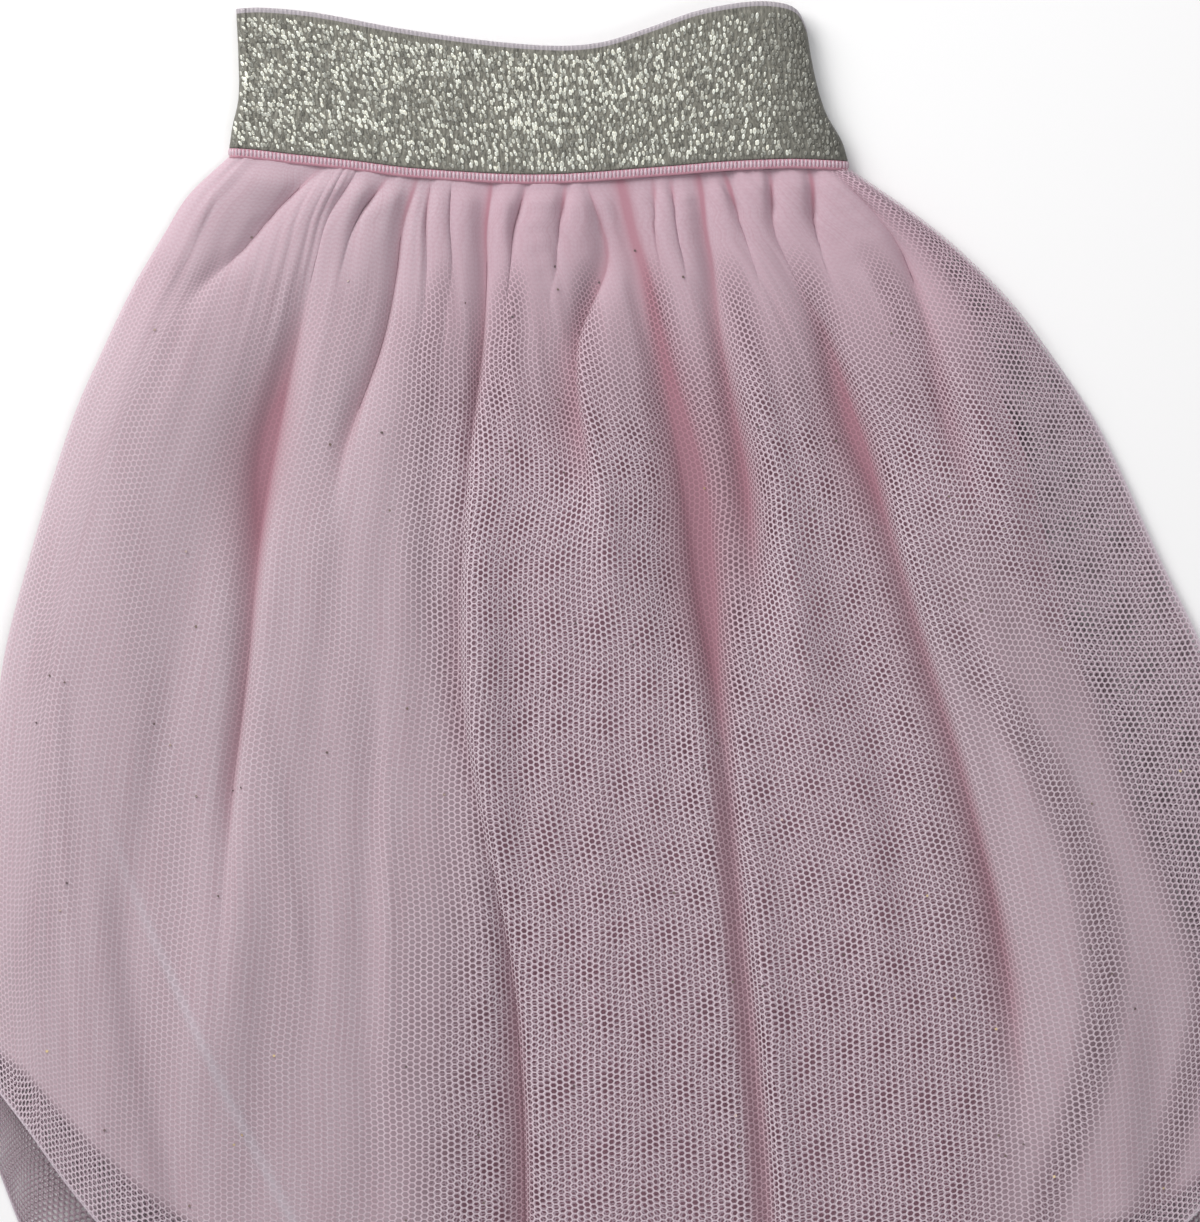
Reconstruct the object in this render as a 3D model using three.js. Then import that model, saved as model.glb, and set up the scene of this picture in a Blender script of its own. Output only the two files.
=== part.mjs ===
// A child's gathered tulle skirt, laid flat on its back panel.
// Millimetres. X runs across the skirt, Y towards the top of the waistband, Z up from the surface it lies on.
// The origin is under the middle of the waistband, on the surface.
import * as THREE from "three";

// Wall thicknesses
const NET_WALL = 1.0; // two nets gathered as one
const LINING_WALL = 1.0;
const BAND_WALL = 1.8;
const EDGING_WALL = 1.5;
const SEAM_GAP = 0.3;

// Waistband, a loop of wide elastic pressed flat
const BAND_LOFT = 6.2; // height of the pressed loop above the surface
const BAND_SWELL = 1.1; // extra height near its soft right fold
const BAND_SWELL_AT = 0.84;
const BAND_SWELL_WIDE = 0.13;
const BAND_FOLD_LEFT = 2.8; // how far the crisp left fold rounds off
const BAND_FOLD_RIGHT = 8.5; // the same for the soft right fold
const BAND_COLUMNS = 26;
const FOLD_STEPS = 7;

// Narrow edging that joins the band and the skirt
const EDGING_HEIGHT = 2.3;
const EDGING_LOFT = 6.5;

// Levels of the skirt's layers, each the middle of its wall
const NET_BACK_LEVEL = NET_WALL / 2;
const LINING_BACK_LEVEL = NET_WALL + SEAM_GAP + LINING_WALL / 2;
const LINING_FRONT_LEVEL = LINING_BACK_LEVEL + LINING_WALL + SEAM_GAP;
const NET_FLOOR = LINING_FRONT_LEVEL + LINING_WALL / 2 + SEAM_GAP + NET_WALL / 2 + 0.2;
const NET_EDGE_LEVEL = NET_WALL + SEAM_GAP + 0.45; // where the front net meets the back net
const LINING_SWELL = 0.45; // share of the front net's rise that the lining follows
const LINING_REACH = 8; // it follows the lowest net within this distance
const LINING_RISES_IN = 14; // from its side seams it rises over this width
const LINING_COLUMNS = 46;
const FLOOR_BLEND = 1.4;
const SIDE_BULGE = 0.5; // below 1, the net rises more steeply at its sides

// Gathers at the waist
const GATHER_START = 0.5; // height of a gather at the seam itself
const GATHER_HEIGHT = 2.6;
const GATHER_FULL_PITCH = 8; // gathers narrower than this are lower
const GATHER_ROUND = 0.6; // below 1, fuller than a sine
const GATHER_FULL_AT = 0.02; // shares of the length from waist to hem
const GATHER_GONE_AT = 0.12;
const STEPS_IN_GATHER = 4;

// A valley has a narrow core in a wide trough
const CORE_SHARE = 0.68;
const TROUGH_TIMES = 2.8;
const WAIST_NARROWING = 0.4; // valleys and ridges are this share as wide at the waist
const NARROWING_ENDS = 0.3;

// Where the folds' shares across are given, as shares of the length
const TRACK_AT = [0, 0.06, 0.14, 0.25, 0.45, 0.7, 1];
const SWELL_AT = [0.25, 0.6, 1];
const ROWS = [0, 0.008, 0.02, 0.036, 0.055, 0.08, 0.11, 0.145, 0.185, 0.23, 0.28, 0.34, 0.4, 0.46, 0.53,
  0.6, 0.67, 0.74, 0.81, 0.88, 0.94, 0.975, 1];
const LINING_ROWS = [0, 0.02, 0.055, 0.11, 0.185, 0.28, 0.4, 0.53, 0.67, 0.81, 0.94, 1];
const BACK_ROWS = [0, 0.055, 0.145, 0.28, 0.46, 0.67, 0.88, 0.975, 1];

// Waist seam and hems: share across, y of the seam, y of the front net's, back net's and lining's hems
const SEAMS = [
  { across: 0.0, waist: -11.2, hem: -251.9, backHem: -272.0, lining: -243.5 },
  { across: 0.03, waist: -11.5, hem: -264.4, backHem: -296.0, lining: -250.5 },
  { across: 0.06, waist: -12.0, hem: -278.4, backHem: -304.0, lining: -261.5 },
  { across: 0.1, waist: -12.8, hem: -293.5, backHem: -309.0, lining: -274.5 },
  { across: 0.15, waist: -13.6, hem: -302.8, backHem: -312.0, lining: -288.0 },
  { across: 0.2, waist: -14.5, hem: -308.8, backHem: -314.0, lining: -296.0 },
  { across: 0.3, waist: -16.5, hem: -312.9, backHem: -316.0, lining: -301.5 },
  { across: 0.5, waist: -18.1, hem: -314.9, backHem: -317.0, lining: -303.5 },
  { across: 0.7, waist: -16.1, hem: -311.5, backHem: -315.5, lining: -300.0 },
  { across: 0.8, waist: -14.8, hem: -305.7, backHem: -311.0, lining: -295.0 },
  { across: 0.9, waist: -14.1, hem: -294.9, backHem: -303.0, lining: -285.0 },
  { across: 0.94, waist: -14.2, hem: -284.4, backHem: -293.0, lining: -277.0 },
  { across: 0.97, waist: -14.4, hem: -270.5, backHem: -279.0, lining: -266.5 },
  { across: 1.0, waist: -14.6, hem: -253.8, backHem: -262.0, lining: -253.0 },
];

// Outlines down the length: share from waist to hem, x of the net's two sides and of the lining's,
// height of the net's folds, and how far in from each side the net rounds up to that height
const SIDES = [
  { along: 0, left: -81, right: 81, liningLeft: -76.4, liningRight: 75.9, loft: 4.9,
    roundLeft: 3.5, roundRight: 3.5 },
  { along: 0.04, left: -91.2, right: 95, liningLeft: -86, liningRight: 87.8, loft: 7,
    roundLeft: 5.5, roundRight: 5.5 },
  { along: 0.08, left: -97.3, right: 107.3, liningLeft: -91, liningRight: 98.2, loft: 9,
    roundLeft: 8, roundRight: 8.5 },
  { along: 0.14, left: -105.8, right: 121.8, liningLeft: -98.9, liningRight: 109.4, loft: 11.4,
    roundLeft: 11, roundRight: 14 },
  { along: 0.2, left: -112.8, right: 132.8, liningLeft: -106, liningRight: 117.4, loft: 13.2,
    roundLeft: 13, roundRight: 22 },
  { along: 0.28, left: -121.3, right: 145.5, liningLeft: -114.4, liningRight: 126.3, loft: 14.6,
    roundLeft: 15, roundRight: 36 },
  { along: 0.42, left: -131.9, right: 161.2, liningLeft: -125, liningRight: 135.8, loft: 15.2,
    roundLeft: 16, roundRight: 56 },
  { along: 0.56, left: -140.2, right: 176.6, liningLeft: -133.1, liningRight: 148.2, loft: 15.2,
    roundLeft: 16, roundRight: 64 },
  { along: 0.78, left: -144.5, right: 191.1, liningLeft: -137.5, liningRight: 170, loft: 14.6,
    roundLeft: 16, roundRight: 56 },
  { along: 1, left: -142.5, right: 191.9, liningLeft: -135.5, liningRight: 179, loft: 12.8,
    roundLeft: 15, roundRight: 44 },
];

// One row for each gather of the front, left to right: its share across at the lengths of TRACK_AT,
// the notch under the band (depth, and how far down it reaches), and the valley it runs on into
// (depth, from and to as shares of the length, half widths left and right of its line, overhang)
const FOLDS = [
  { name: "dip", track: [0.149, 0.112, 0.062, 0.045, 0.04, 0.04, 0.04], notch: 0.6, reach: 0.05,
    depth: 3.2, from: 0, to: 0.17, left: 7, right: 4, lean: 0 },
  { name: "far_left", track: [0.206, 0.193, 0.191, 0.188, 0.194, 0.183, 0.166], notch: 0.8, reach: 0.05,
    depth: 12.5, from: 0.05, to: 0.8, left: 7.5, right: 3.2, lean: 1 },
  { name: "pucker_left", track: [0.257, 0.228, 0.222, 0.218, 0.218, 0.21, 0.198], notch: 1.6, reach: 0.04,
    depth: 2.2, from: 0, to: 0.07, left: 3.5, right: 1.8, lean: 0 },
  { name: "short_left", track: [0.303, 0.297, 0.288, 0.259, 0.251, 0.246, 0.24], notch: 1.6, reach: 0.05,
    depth: 5.5, from: 0, to: 0.33, left: 5, right: 2.8, lean: 1 },
  { name: "crease_1", track: [0.325, 0.332, 0.329, 0.331, 0.333, 0.327, 0.322], notch: 1.4, reach: 0.07,
    depth: 1.2, from: 0, to: 0.2, left: 3, right: 2, lean: 0 },
  { name: "crease_2", track: [0.358, 0.364, 0.355, 0.347, 0.35, 0.355, 0.355], notch: 0.3, reach: 0.03,
    depth: 0.6, from: 0.05, to: 0.3, left: 3, right: 2, lean: 0 },
  { name: "mid_left", track: [0.423, 0.412, 0.401, 0.386, 0.383, 0.414, 0.418], notch: 1.8, reach: 0.08,
    depth: 7, from: 0, to: 1.3, left: 5.5, right: 2.4, lean: 1.4 },
  { name: "crease_3", track: [0.477, 0.444, 0.423, 0.416, 0.423, 0.443, 0.448], notch: 1.8, reach: 0.06,
    depth: 1, from: 0, to: 0.15, left: 2.5, right: 2, lean: 0 },
  { name: "notch_mid", track: [0.541, 0.505, 0.467, 0.452, 0.458, 0.468, 0.471], notch: 3.4, reach: 0.04,
    depth: 0.8, from: 0, to: 0.1, left: 4, right: 2, lean: 0 },
  { name: "crescent", track: [0.574, 0.572, 0.509, 0.503, 0.504, 0.505, 0.504], notch: 1.4, reach: 0.09,
    depth: 7, from: 0.015, to: 0.32, left: 9, right: 2.6, lean: 1.4 },
  { name: "centre", track: [0.63, 0.613, 0.604, 0.608, 0.604, 0.597, 0.61], notch: 2, reach: 0.05,
    depth: 13, from: 0, to: 1.4, left: 6, right: 5, lean: 1.2 },
  { name: "notch_right_1", track: [0.681, 0.64, 0.622, 0.622, 0.619, 0.614, 0.627], notch: 2.6, reach: 0.03,
    depth: 0.5, from: 0, to: 0.08, left: 2.5, right: 2, lean: 0 },
  { name: "notch_right_2", track: [0.708, 0.668, 0.642, 0.64, 0.634, 0.629, 0.638], notch: 2.4, reach: 0.03,
    depth: 0.6, from: 0, to: 0.08, left: 2.5, right: 2, lean: 0 },
  { name: "right_short", track: [0.754, 0.706, 0.671, 0.662, 0.649, 0.648, 0.648], notch: 1.6, reach: 0.05,
    depth: 8.5, from: 0, to: 0.42, left: 4.5, right: 3, lean: 0.8 },
  { name: "notch_right_3", track: [0.795, 0.756, 0.729, 0.715, 0.706, 0.696, 0.696], notch: 4, reach: 0.045,
    depth: 1.6, from: 0, to: 0.09, left: 3.5, right: 2, lean: 0 },
  { name: "right_long", track: [0.867, 0.796, 0.789, 0.783, 0.791, 0.8, 0.797], notch: 3.2, reach: 0.06,
    depth: 12, from: 0.03, to: 0.92, left: 7, right: 3.4, lean: 1.2 },
  { name: "notch_right_4", track: [0.932, 0.849, 0.817, 0.817, 0.832, 0.842, 0.847], notch: 4, reach: 0.06,
    depth: 1.5, from: 0, to: 0.1, left: 3.5, right: 3, lean: 0 },
  { name: "shoulder", track: [0.968, 0.946, 0.905, 0.871, 0.877, 0.877, 0.877], notch: 0.8, reach: 0.06,
    depth: 5, from: 0.02, to: 0.36, left: 5, right: 5, lean: 0 },
];

// Broad rises and soft dips between the valleys, and the rises that ease a valley where it is shallower:
// share across at three lengths, height (a dip is below zero), from and to as shares of the length, half width
const SWELLS = [
  { name: "left_side", upper: 0.085, lower: 0.085, hem: 0.09, height: 2.5, from: 0.05, to: 1.2, wide: 15 },
  { name: "left_step", upper: 0.2, lower: 0.21, hem: 0.24, height: 1.6, from: 0.35, to: 1.2, wide: 12 },
  { name: "pale_line", upper: 0.318, lower: 0.304, hem: 0.297, height: -1.8, from: 0.38, to: 1.0, wide: 4.5 },
  { name: "beside_crescent", upper: 0.512, lower: 0.545, hem: 0.55, height: 3.0, from: 0.1, to: 0.42, wide: 5 },
  { name: "beside_short", upper: 0.69, lower: 0.672, hem: 0.67, height: 3.0, from: 0.1, to: 0.56, wide: 5 },
  { name: "dip_before_long", upper: 0.724, lower: 0.73, hem: 0.735, height: -1.5, from: 0.3, to: 0.8, wide: 6 },
  { name: "right_shoulder", upper: 0.905, lower: 0.915, hem: 0.92, height: 3.0, from: 0.08, to: 0.4, wide: 7 },
  { name: "right_broad", upper: 0.86, lower: 0.85, hem: 0.85, height: 2.6, from: 0.35, to: 1.0, wide: 14 },
  { name: "right_hem_dip", upper: 0.9, lower: 0.9, hem: 0.91, height: -1.4, from: 0.7, to: 1.3, wide: 6 },
  { name: "left_hem_dip", upper: 0.1, lower: 0.096, hem: 0.16, height: -3, from: 0.55, to: 1.2, wide: 6 },
  { name: "far_left_eases", upper: 0.19, lower: 0.185, hem: 0.17, height: 7.5, from: 0.24, to: 0.95, wide: 10 },
  { name: "mid_left_eases", upper: 0.386, lower: 0.4, hem: 0.42, height: 5.5, from: 0.14, to: 0.82, wide: 7 },
  { name: "centre_eases", upper: 0.605, lower: 0.598, hem: 0.61, height: 9, from: 0.34, to: 1.4, wide: 9 },
  { name: "long_eases", upper: 0.784, lower: 0.795, hem: 0.8, height: 6, from: 0.22, to: 0.76, wide: 9 },
];

// Top edge of the band: share across, y
const BAND_TOP = [
  { across: 0, y: 27.6 },
  { across: 0.05, y: 27.8 },
  { across: 0.14, y: 26.5 },
  { across: 0.28, y: 22.6 },
  { across: 0.43, y: 19.4 },
  { across: 0.56, y: 17.9 },
  { across: 0.64, y: 18.8 },
  { across: 0.72, y: 22.4 },
  { across: 0.81, y: 27 },
  { across: 0.9, y: 29.3 },
  { across: 0.955, y: 29 },
  { across: 0.985, y: 27 },
  { across: 1, y: 22.5 },
];

// Sides of the band from its lower edge up
const BAND_SIDES = [
  { up: 0, left: -81, right: 80.2 },
  { up: 0.15, left: -80.2, right: 78.6 },
  { up: 0.36, left: -78.6, right: 74.5 },
  { up: 0.64, left: -78.6, right: 71.6 },
  { up: 1, left: -79.2, right: 69.4 },
];

const { clamp, lerp, smoothstep } = THREE.MathUtils;

// Smooth curve through one named column of a table
function curve(table, key, column) {
  const at = table.map((row) => row[key]);
  const value = table.map((row) => row[column]);
  return smoothThrough(at, value);
}

function smoothThrough(at, value) {
  const last = at.length - 1;
  const slope = at.map((_, i) => {
    const a = Math.max(i - 1, 0);
    const b = Math.min(i + 1, last);
    return (value[b] - value[a]) / (at[b] - at[a]);
  });
  return (x) => {
    let i = 0;
    while (i < last - 1 && x > at[i + 1]) i++;
    const span = at[i + 1] - at[i];
    const t = clamp((x - at[i]) / span, 0, 1);
    const past = x < at[0] ? slope[0] * (x - at[0]) : x > at[last] ? slope[last] * (x - at[last]) : 0;
    const t2 = t * t;
    const t3 = t2 * t;
    return value[i] * (2 * t3 - 3 * t2 + 1) + value[i + 1] * (3 * t2 - 2 * t3) + past
      + span * (slope[i] * (t3 - 2 * t2 + t) + slope[i + 1] * (t3 - t2));
  };
}

const seam = {
  waist: curve(SEAMS, "across", "waist"),
  hem: curve(SEAMS, "across", "hem"),
  backHem: curve(SEAMS, "across", "backHem"),
  lining: curve(SEAMS, "across", "lining"),
};
const side = {
  left: curve(SIDES, "along", "left"),
  right: curve(SIDES, "along", "right"),
  liningLeft: curve(SIDES, "along", "liningLeft"),
  liningRight: curve(SIDES, "along", "liningRight"),
  loft: curve(SIDES, "along", "loft"),
  roundLeft: curve(SIDES, "along", "roundLeft"),
  roundRight: curve(SIDES, "along", "roundRight"),
};
const foldTracks = FOLDS.map((f) => smoothThrough(TRACK_AT, f.track));
const swellTracks = SWELLS.map((s) => smoothThrough(SWELL_AT, [s.upper, s.lower, s.hem]));

// Share across of each fold line at one length, with the two sides added
function linesAt(along) {
  return [0, ...foldTracks.map((track) => track(along)), 1];
}

// How much of a fold is there at one length
function presence(from, to, along) {
  const rise = Math.max(0.05, 0.25 * (to - from));
  const fall = Math.max(0.06, 0.4 * (Math.min(to, 1) - from));
  const start = from <= 0 ? 1 : smoothstep(along, from, from + Math.min(rise, 0.2));
  return start * (1 - smoothstep(along, to - fall, to));
}

// Middle of the front net's wall at a share across and a share of the length
function frontNet(across, along) {
  const left = side.left(along);
  const width = side.right(along) - left;
  const narrow = lerp(WAIST_NARROWING, 1, smoothstep(along, 0, NARROWING_ENDS));
  let x = left + width * across;
  let height = side.loft(along);
  SWELLS.forEach((s, i) => {
    const away = (across - swellTracks[i](along)) * width;
    height += s.height * presence(s.from, s.to, along) * Math.exp(-((away / (s.wide * narrow)) ** 2));
  });

  const lines = linesAt(along);
  const grow = lerp(GATHER_START, GATHER_HEIGHT, smoothstep(along, 0, GATHER_FULL_AT));
  const gather = grow * (1 - smoothstep(along, GATHER_FULL_AT, GATHER_GONE_AT));
  for (let i = 0; i < lines.length - 1; i++) {
    if (across < lines[i] || across > lines[i + 1]) continue;
    const pitch = lines[i + 1] - lines[i];
    const share = clamp((across - lines[i]) / pitch, 0, 1);
    const full = Math.min(1, (pitch * width) / GATHER_FULL_PITCH);
    height += gather * full * Math.sin(Math.PI * share) ** GATHER_ROUND;
  }

  let shift = 0;
  FOLDS.forEach((f, i) => {
    const away = (across - lines[i + 1]) * width;
    const half = (away < 0 ? f.left : f.right) * narrow;
    const core = (1 + (away / half) ** 2) ** -1.6;
    const trough = Math.exp(-((away / (half * TROUGH_TIMES)) ** 2));
    const there = presence(f.from, f.to, along);
    height -= f.depth * there * (CORE_SHARE * core + (1 - CORE_SHARE) * trough);
    const notch = f.notch * smoothstep(along, -0.01, 0.012) * (1 - smoothstep(along, 0.3 * f.reach, f.reach));
    height -= notch * Math.exp(-((away / 1.5) ** 2));
    const brow = (away - 1.5 * f.right * narrow) / (1.3 * f.right * narrow);
    shift += f.lean * narrow * there * Math.exp(-(brow ** 2));
  });
  const above = height - NET_FLOOR;
  height = NET_FLOOR + (above + Math.sqrt(above ** 2 + FLOOR_BLEND ** 2)) / 2;

  const fromLeft = Math.sin((Math.PI / 2) * clamp((across * width) / side.roundLeft(along), 0, 1));
  const fromRight = Math.sin((Math.PI / 2) * clamp(((1 - across) * width) / side.roundRight(along), 0, 1));
  const round = fromLeft ** SIDE_BULGE * fromRight ** lerp(SIDE_BULGE, 1, smoothstep(along, 0.1, 0.35));
  height = NET_EDGE_LEVEL + (height - NET_EDGE_LEVEL) * round;
  x -= shift * smoothstep(Math.min(across, 1 - across) * width, 0, 8);
  const top = seam.waist(across) - SEAM_GAP;
  return new THREE.Vector3(x, lerp(top, seam.hem(across), along), height);
}

// Shares across where the front's columns run: some in each gather, more beside the two sides
function columnsAt(along, step) {
  const lines = linesAt(along);
  const width = side.right(along) - side.left(along);
  const edgeLeft = Math.min(side.roundLeft(along) / width, lines[1] * 0.9);
  const edgeRight = Math.min(0.1, 12 / width);
  const columns = [];
  [0, 0.03, 0.14, 0.36, 0.68].forEach((share) => columns.push(share * edgeLeft));
  for (let i = 0; i < lines.length - 1; i++) {
    const start = i === 0 ? edgeLeft : lines[i];
    const end = i === lines.length - 2 ? Math.max(1 - edgeRight, lerp(lines[i], 1, 0.5)) : lines[i + 1];
    for (let k = 0; k < STEPS_IN_GATHER; k += step) {
      const t = k / STEPS_IN_GATHER;
      columns.push(lerp(start, end, t - 0.06 * Math.sin(2 * Math.PI * t)));
    }
  }
  const last = Math.max(1 - edgeRight, lerp(lines[lines.length - 2], 1, 0.5));
  [0, 0.32, 0.64, 0.86, 0.97, 1].forEach((share) => columns.push(lerp(last, 1, share)));
  return columns;
}

// Closed wall from a grid of points, half its thickness to each side along the normals;
// its two ends are cut square
function wallFrom(grid, thickness) {
  const rows = grid.length;
  const columns = grid[0].length;
  const outer = [];
  const inner = [];
  for (let j = 0; j < rows; j++) {
    for (let i = 0; i < columns; i++) {
      const above = grid[Math.max(j - 1, 0)][i];
      const below = grid[Math.min(j + 1, rows - 1)][i];
      const along = new THREE.Vector3().subVectors(below, above);
      const before = grid[j][Math.max(i - 1, 0)];
      const after = grid[j][Math.min(i + 1, columns - 1)];
      const normal = new THREE.Vector3().subVectors(after, before).cross(along).negate();
      if (j === 0 || j === rows - 1) normal.y = 0;
      normal.normalize();
      outer.push(grid[j][i].clone().addScaledVector(normal, thickness / 2));
      inner.push(grid[j][i].clone().addScaledVector(normal, -thickness / 2));
    }
  }
  return closeSheet(outer, inner, columns, rows);
}

// Closed wall from a grid, with a flat underside
function wallOnFloor(grid, thickness, level) {
  const points = grid.flat();
  const outer = points.map((p) => new THREE.Vector3(p.x, p.y, level + thickness / 2));
  const inner = points.map((p) => new THREE.Vector3(p.x, p.y, level - thickness / 2));
  return closeSheet(outer, inner, grid[0].length, grid.length);
}

// Joins two sheets of points into one closed body; rows run from the waist down
function closeSheet(outer, inner, columns, rows) {
  const under = outer.length;
  const index = [];
  const quad = (a, b, c, d) => index.push(a, b, c, a, c, d);
  for (let j = 0; j < rows - 1; j++) {
    for (let i = 0; i < columns - 1; i++) {
      const a = j * columns + i;
      quad(a, a + columns, a + columns + 1, a + 1);
      quad(under + a, under + a + 1, under + a + columns + 1, under + a + columns);
    }
  }
  const rim = [];
  for (let i = 0; i < columns; i++) rim.push(i);
  for (let j = 1; j < rows; j++) rim.push(j * columns + columns - 1);
  for (let i = columns - 2; i >= 0; i--) rim.push((rows - 1) * columns + i);
  for (let j = rows - 2; j > 0; j--) rim.push(j * columns);
  rim.forEach((a, i) => {
    const b = rim[(i + 1) % rim.length];
    quad(a, b, under + b, under + a);
  });
  return geometryFrom([...outer, ...inner], index);
}

function geometryFrom(points, index) {
  const geometry = new THREE.BufferGeometry().setFromPoints(points);
  geometry.setIndex(index);
  geometry.computeVertexNormals();
  return geometry;
}

// Outline of a pressed loop in the X-Z plane, inset by part of its wall; front first, then the right fold
function pressedLoop(left, right, loft, inset) {
  const foldLeft = BAND_FOLD_LEFT;
  const foldRight = BAND_FOLD_RIGHT;
  const points = [];
  const top = (x) => {
    const share = (x - left) / (right - left);
    const swell = BAND_SWELL * Math.exp(-(((share - BAND_SWELL_AT) / BAND_SWELL_WIDE) ** 2));
    return loft + swell - inset;
  };
  for (let i = 0; i <= BAND_COLUMNS; i++) {
    const x = lerp(left + foldLeft, right - foldRight, i / BAND_COLUMNS);
    points.push([x, top(x)]);
  }
  const fold = (x, reach, high, from, to) => {
    for (let i = 1; i < FOLD_STEPS; i++) {
      const angle = lerp(from, to, i / FOLD_STEPS);
      const middle = (high + inset) / 2;
      points.push([x + (reach - inset) * Math.cos(angle), middle + (high - middle) * Math.sin(angle)]);
    }
  };
  fold(right - foldRight, foldRight, top(right - foldRight), Math.PI / 2, -Math.PI / 2);
  for (let i = BAND_COLUMNS; i >= 0; i--) {
    points.push([lerp(left + foldLeft, right - foldRight, i / BAND_COLUMNS), inset]);
  }
  fold(left + foldLeft, foldLeft, top(left + foldLeft), -Math.PI / 2, -1.5 * Math.PI);
  return points;
}

// Closed tube wall of pressed loops; low(across) and high(across) are its two edges
function loopBand(levels, sidesAt, low, high, loft, wall) {
  const rings = { outer: [], inner: [] };
  levels.forEach((up) => {
    const { left, right } = sidesAt(up);
    Object.entries(rings).forEach(([name, list]) => {
      pressedLoop(left, right, loft, name === "inner" ? wall : 0).forEach(([x, z]) => {
        const across = clamp((x - left) / (right - left), 0, 1);
        list.push(new THREE.Vector3(x, lerp(low(across), high(across), up), z));
      });
    });
  });
  const around = rings.outer.length / levels.length;
  const under = rings.outer.length;
  const index = [];
  const quad = (a, b, c, d) => index.push(a, b, c, a, c, d);
  for (let i = 0; i < around; i++) {
    const next = (i + 1) % around;
    for (let j = 0; j < levels.length - 1; j++) {
      const a = j * around;
      const b = a + around;
      quad(a + i, a + next, b + next, b + i);
      quad(under + a + i, under + b + i, under + b + next, under + a + next);
    }
    const top = (levels.length - 1) * around;
    quad(i, under + i, under + next, next);
    quad(top + i, top + next, under + top + next, under + top + i);
  }
  return geometryFrom([...rings.outer, ...rings.inner], index);
}

const frontGrid = ROWS.map((along) => columnsAt(along, 1).map((across) => frontNet(across, along)));

const liningAcross = (share, along) => lerp(side.liningLeft(along), side.liningRight(along), share);
const shareAt = (x, along) => (x - side.left(along)) / (side.right(along) - side.left(along));

// Least rise of the front net near a place
function lowestNet(across, along) {
  const reach = LINING_REACH / (side.right(along) - side.left(along));
  let least = Infinity;
  [-1, -0.5, 0, 0.5, 1].forEach((a) => [-0.02, 0, 0.02].forEach((b) => {
    const at = frontNet(clamp(across + a * reach, 0, 1), clamp(along + b, 0, 1));
    least = Math.min(least, at.z - NET_FLOOR);
  }));
  return Math.max(0, least);
}

function liningGrid(shares, rows, level, swell) {
  return rows.map((along) => shares(along).map((share) => {
    const x = liningAcross(share, along);
    const across = clamp(shareAt(x, along), 0, 1);
    const y = lerp(seam.waist(across) - SEAM_GAP, seam.lining(across), along);
    const width = side.liningRight(along) - side.liningLeft(along);
    const inward = Math.min(share, 1 - share) * width;
    const rise = swell ? swell * lowestNet(across, along) * smoothstep(inward, 0, LINING_RISES_IN) : 0;
    return new THREE.Vector3(x, y, level + rise);
  }));
}

const evenShares = (count) => () => Array.from({ length: count + 1 }, (_, i) => i / count);

const backGrid = BACK_ROWS.map((along) => evenShares(40)().map((across) => {
  const x = lerp(side.left(along), side.right(along), across);
  return new THREE.Vector3(x, lerp(seam.waist(across) - SEAM_GAP, seam.backHem(across), along), 0);
}));

const bandSides = {
  left: curve(BAND_SIDES, "up", "left"),
  right: curve(BAND_SIDES, "up", "right"),
};
const bandTop = curve(BAND_TOP, "across", "y");
const bandLow = (across) => seam.waist(across) + EDGING_HEIGHT + SEAM_GAP;

const skirt = new THREE.Group();

function add(name, geometry, color, roughness, metalness = 0) {
  const mesh = new THREE.Mesh(geometry, new THREE.MeshStandardMaterial({ color, roughness, metalness }));
  mesh.name = name;
  skirt.add(mesh);
}

const sidesAt = (up) => ({ left: bandSides.left(up), right: bandSides.right(up) });
const edgingTop = (across) => seam.waist(across) + EDGING_HEIGHT;
const band = loopBand([0, 0.15, 0.36, 0.64, 0.85, 1], sidesAt, bandLow, bandTop, BAND_LOFT, BAND_WALL);
const edging = loopBand([0, 1], () => sidesAt(0), seam.waist, edgingTop, EDGING_LOFT, EDGING_WALL);
const liningFront = liningGrid(evenShares(LINING_COLUMNS), LINING_ROWS, LINING_FRONT_LEVEL, LINING_SWELL);
const liningBack = liningGrid(evenShares(24), BACK_ROWS, 0, 0);

add("waistband", band, 0xb9ae94, 0.45, 0.4);
add("waist_edging", edging, 0xd9aebb, 0.8);
add("net_front", wallFrom(frontGrid, NET_WALL), 0xd6bccb, 0.85);
add("net_back", wallOnFloor(backGrid, NET_WALL, NET_BACK_LEVEL), 0xd0b4c4, 0.85);
add("lining_front", wallFrom(liningFront, LINING_WALL), 0xb88093, 0.6);
add("lining_back", wallOnFloor(liningBack, LINING_WALL, LINING_BACK_LEVEL), 0xb88093, 0.6);

export default skirt;
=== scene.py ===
import math
import bpy
import numpy as np
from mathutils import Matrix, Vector


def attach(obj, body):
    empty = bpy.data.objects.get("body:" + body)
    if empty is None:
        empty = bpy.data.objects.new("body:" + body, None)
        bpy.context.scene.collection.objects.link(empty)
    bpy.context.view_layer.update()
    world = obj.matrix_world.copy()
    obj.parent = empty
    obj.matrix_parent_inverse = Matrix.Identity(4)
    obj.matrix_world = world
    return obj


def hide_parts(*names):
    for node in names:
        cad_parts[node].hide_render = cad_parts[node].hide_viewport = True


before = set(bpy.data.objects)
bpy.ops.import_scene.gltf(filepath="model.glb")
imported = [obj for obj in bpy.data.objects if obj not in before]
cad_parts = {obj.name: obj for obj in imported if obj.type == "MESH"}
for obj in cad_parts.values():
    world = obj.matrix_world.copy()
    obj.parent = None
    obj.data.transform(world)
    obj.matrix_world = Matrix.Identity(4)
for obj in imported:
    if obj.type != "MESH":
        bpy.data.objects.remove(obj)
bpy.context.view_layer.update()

# Sizes in millimetres, in the frame of the part; meshes are made in metres
MM = 0.001
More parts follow.
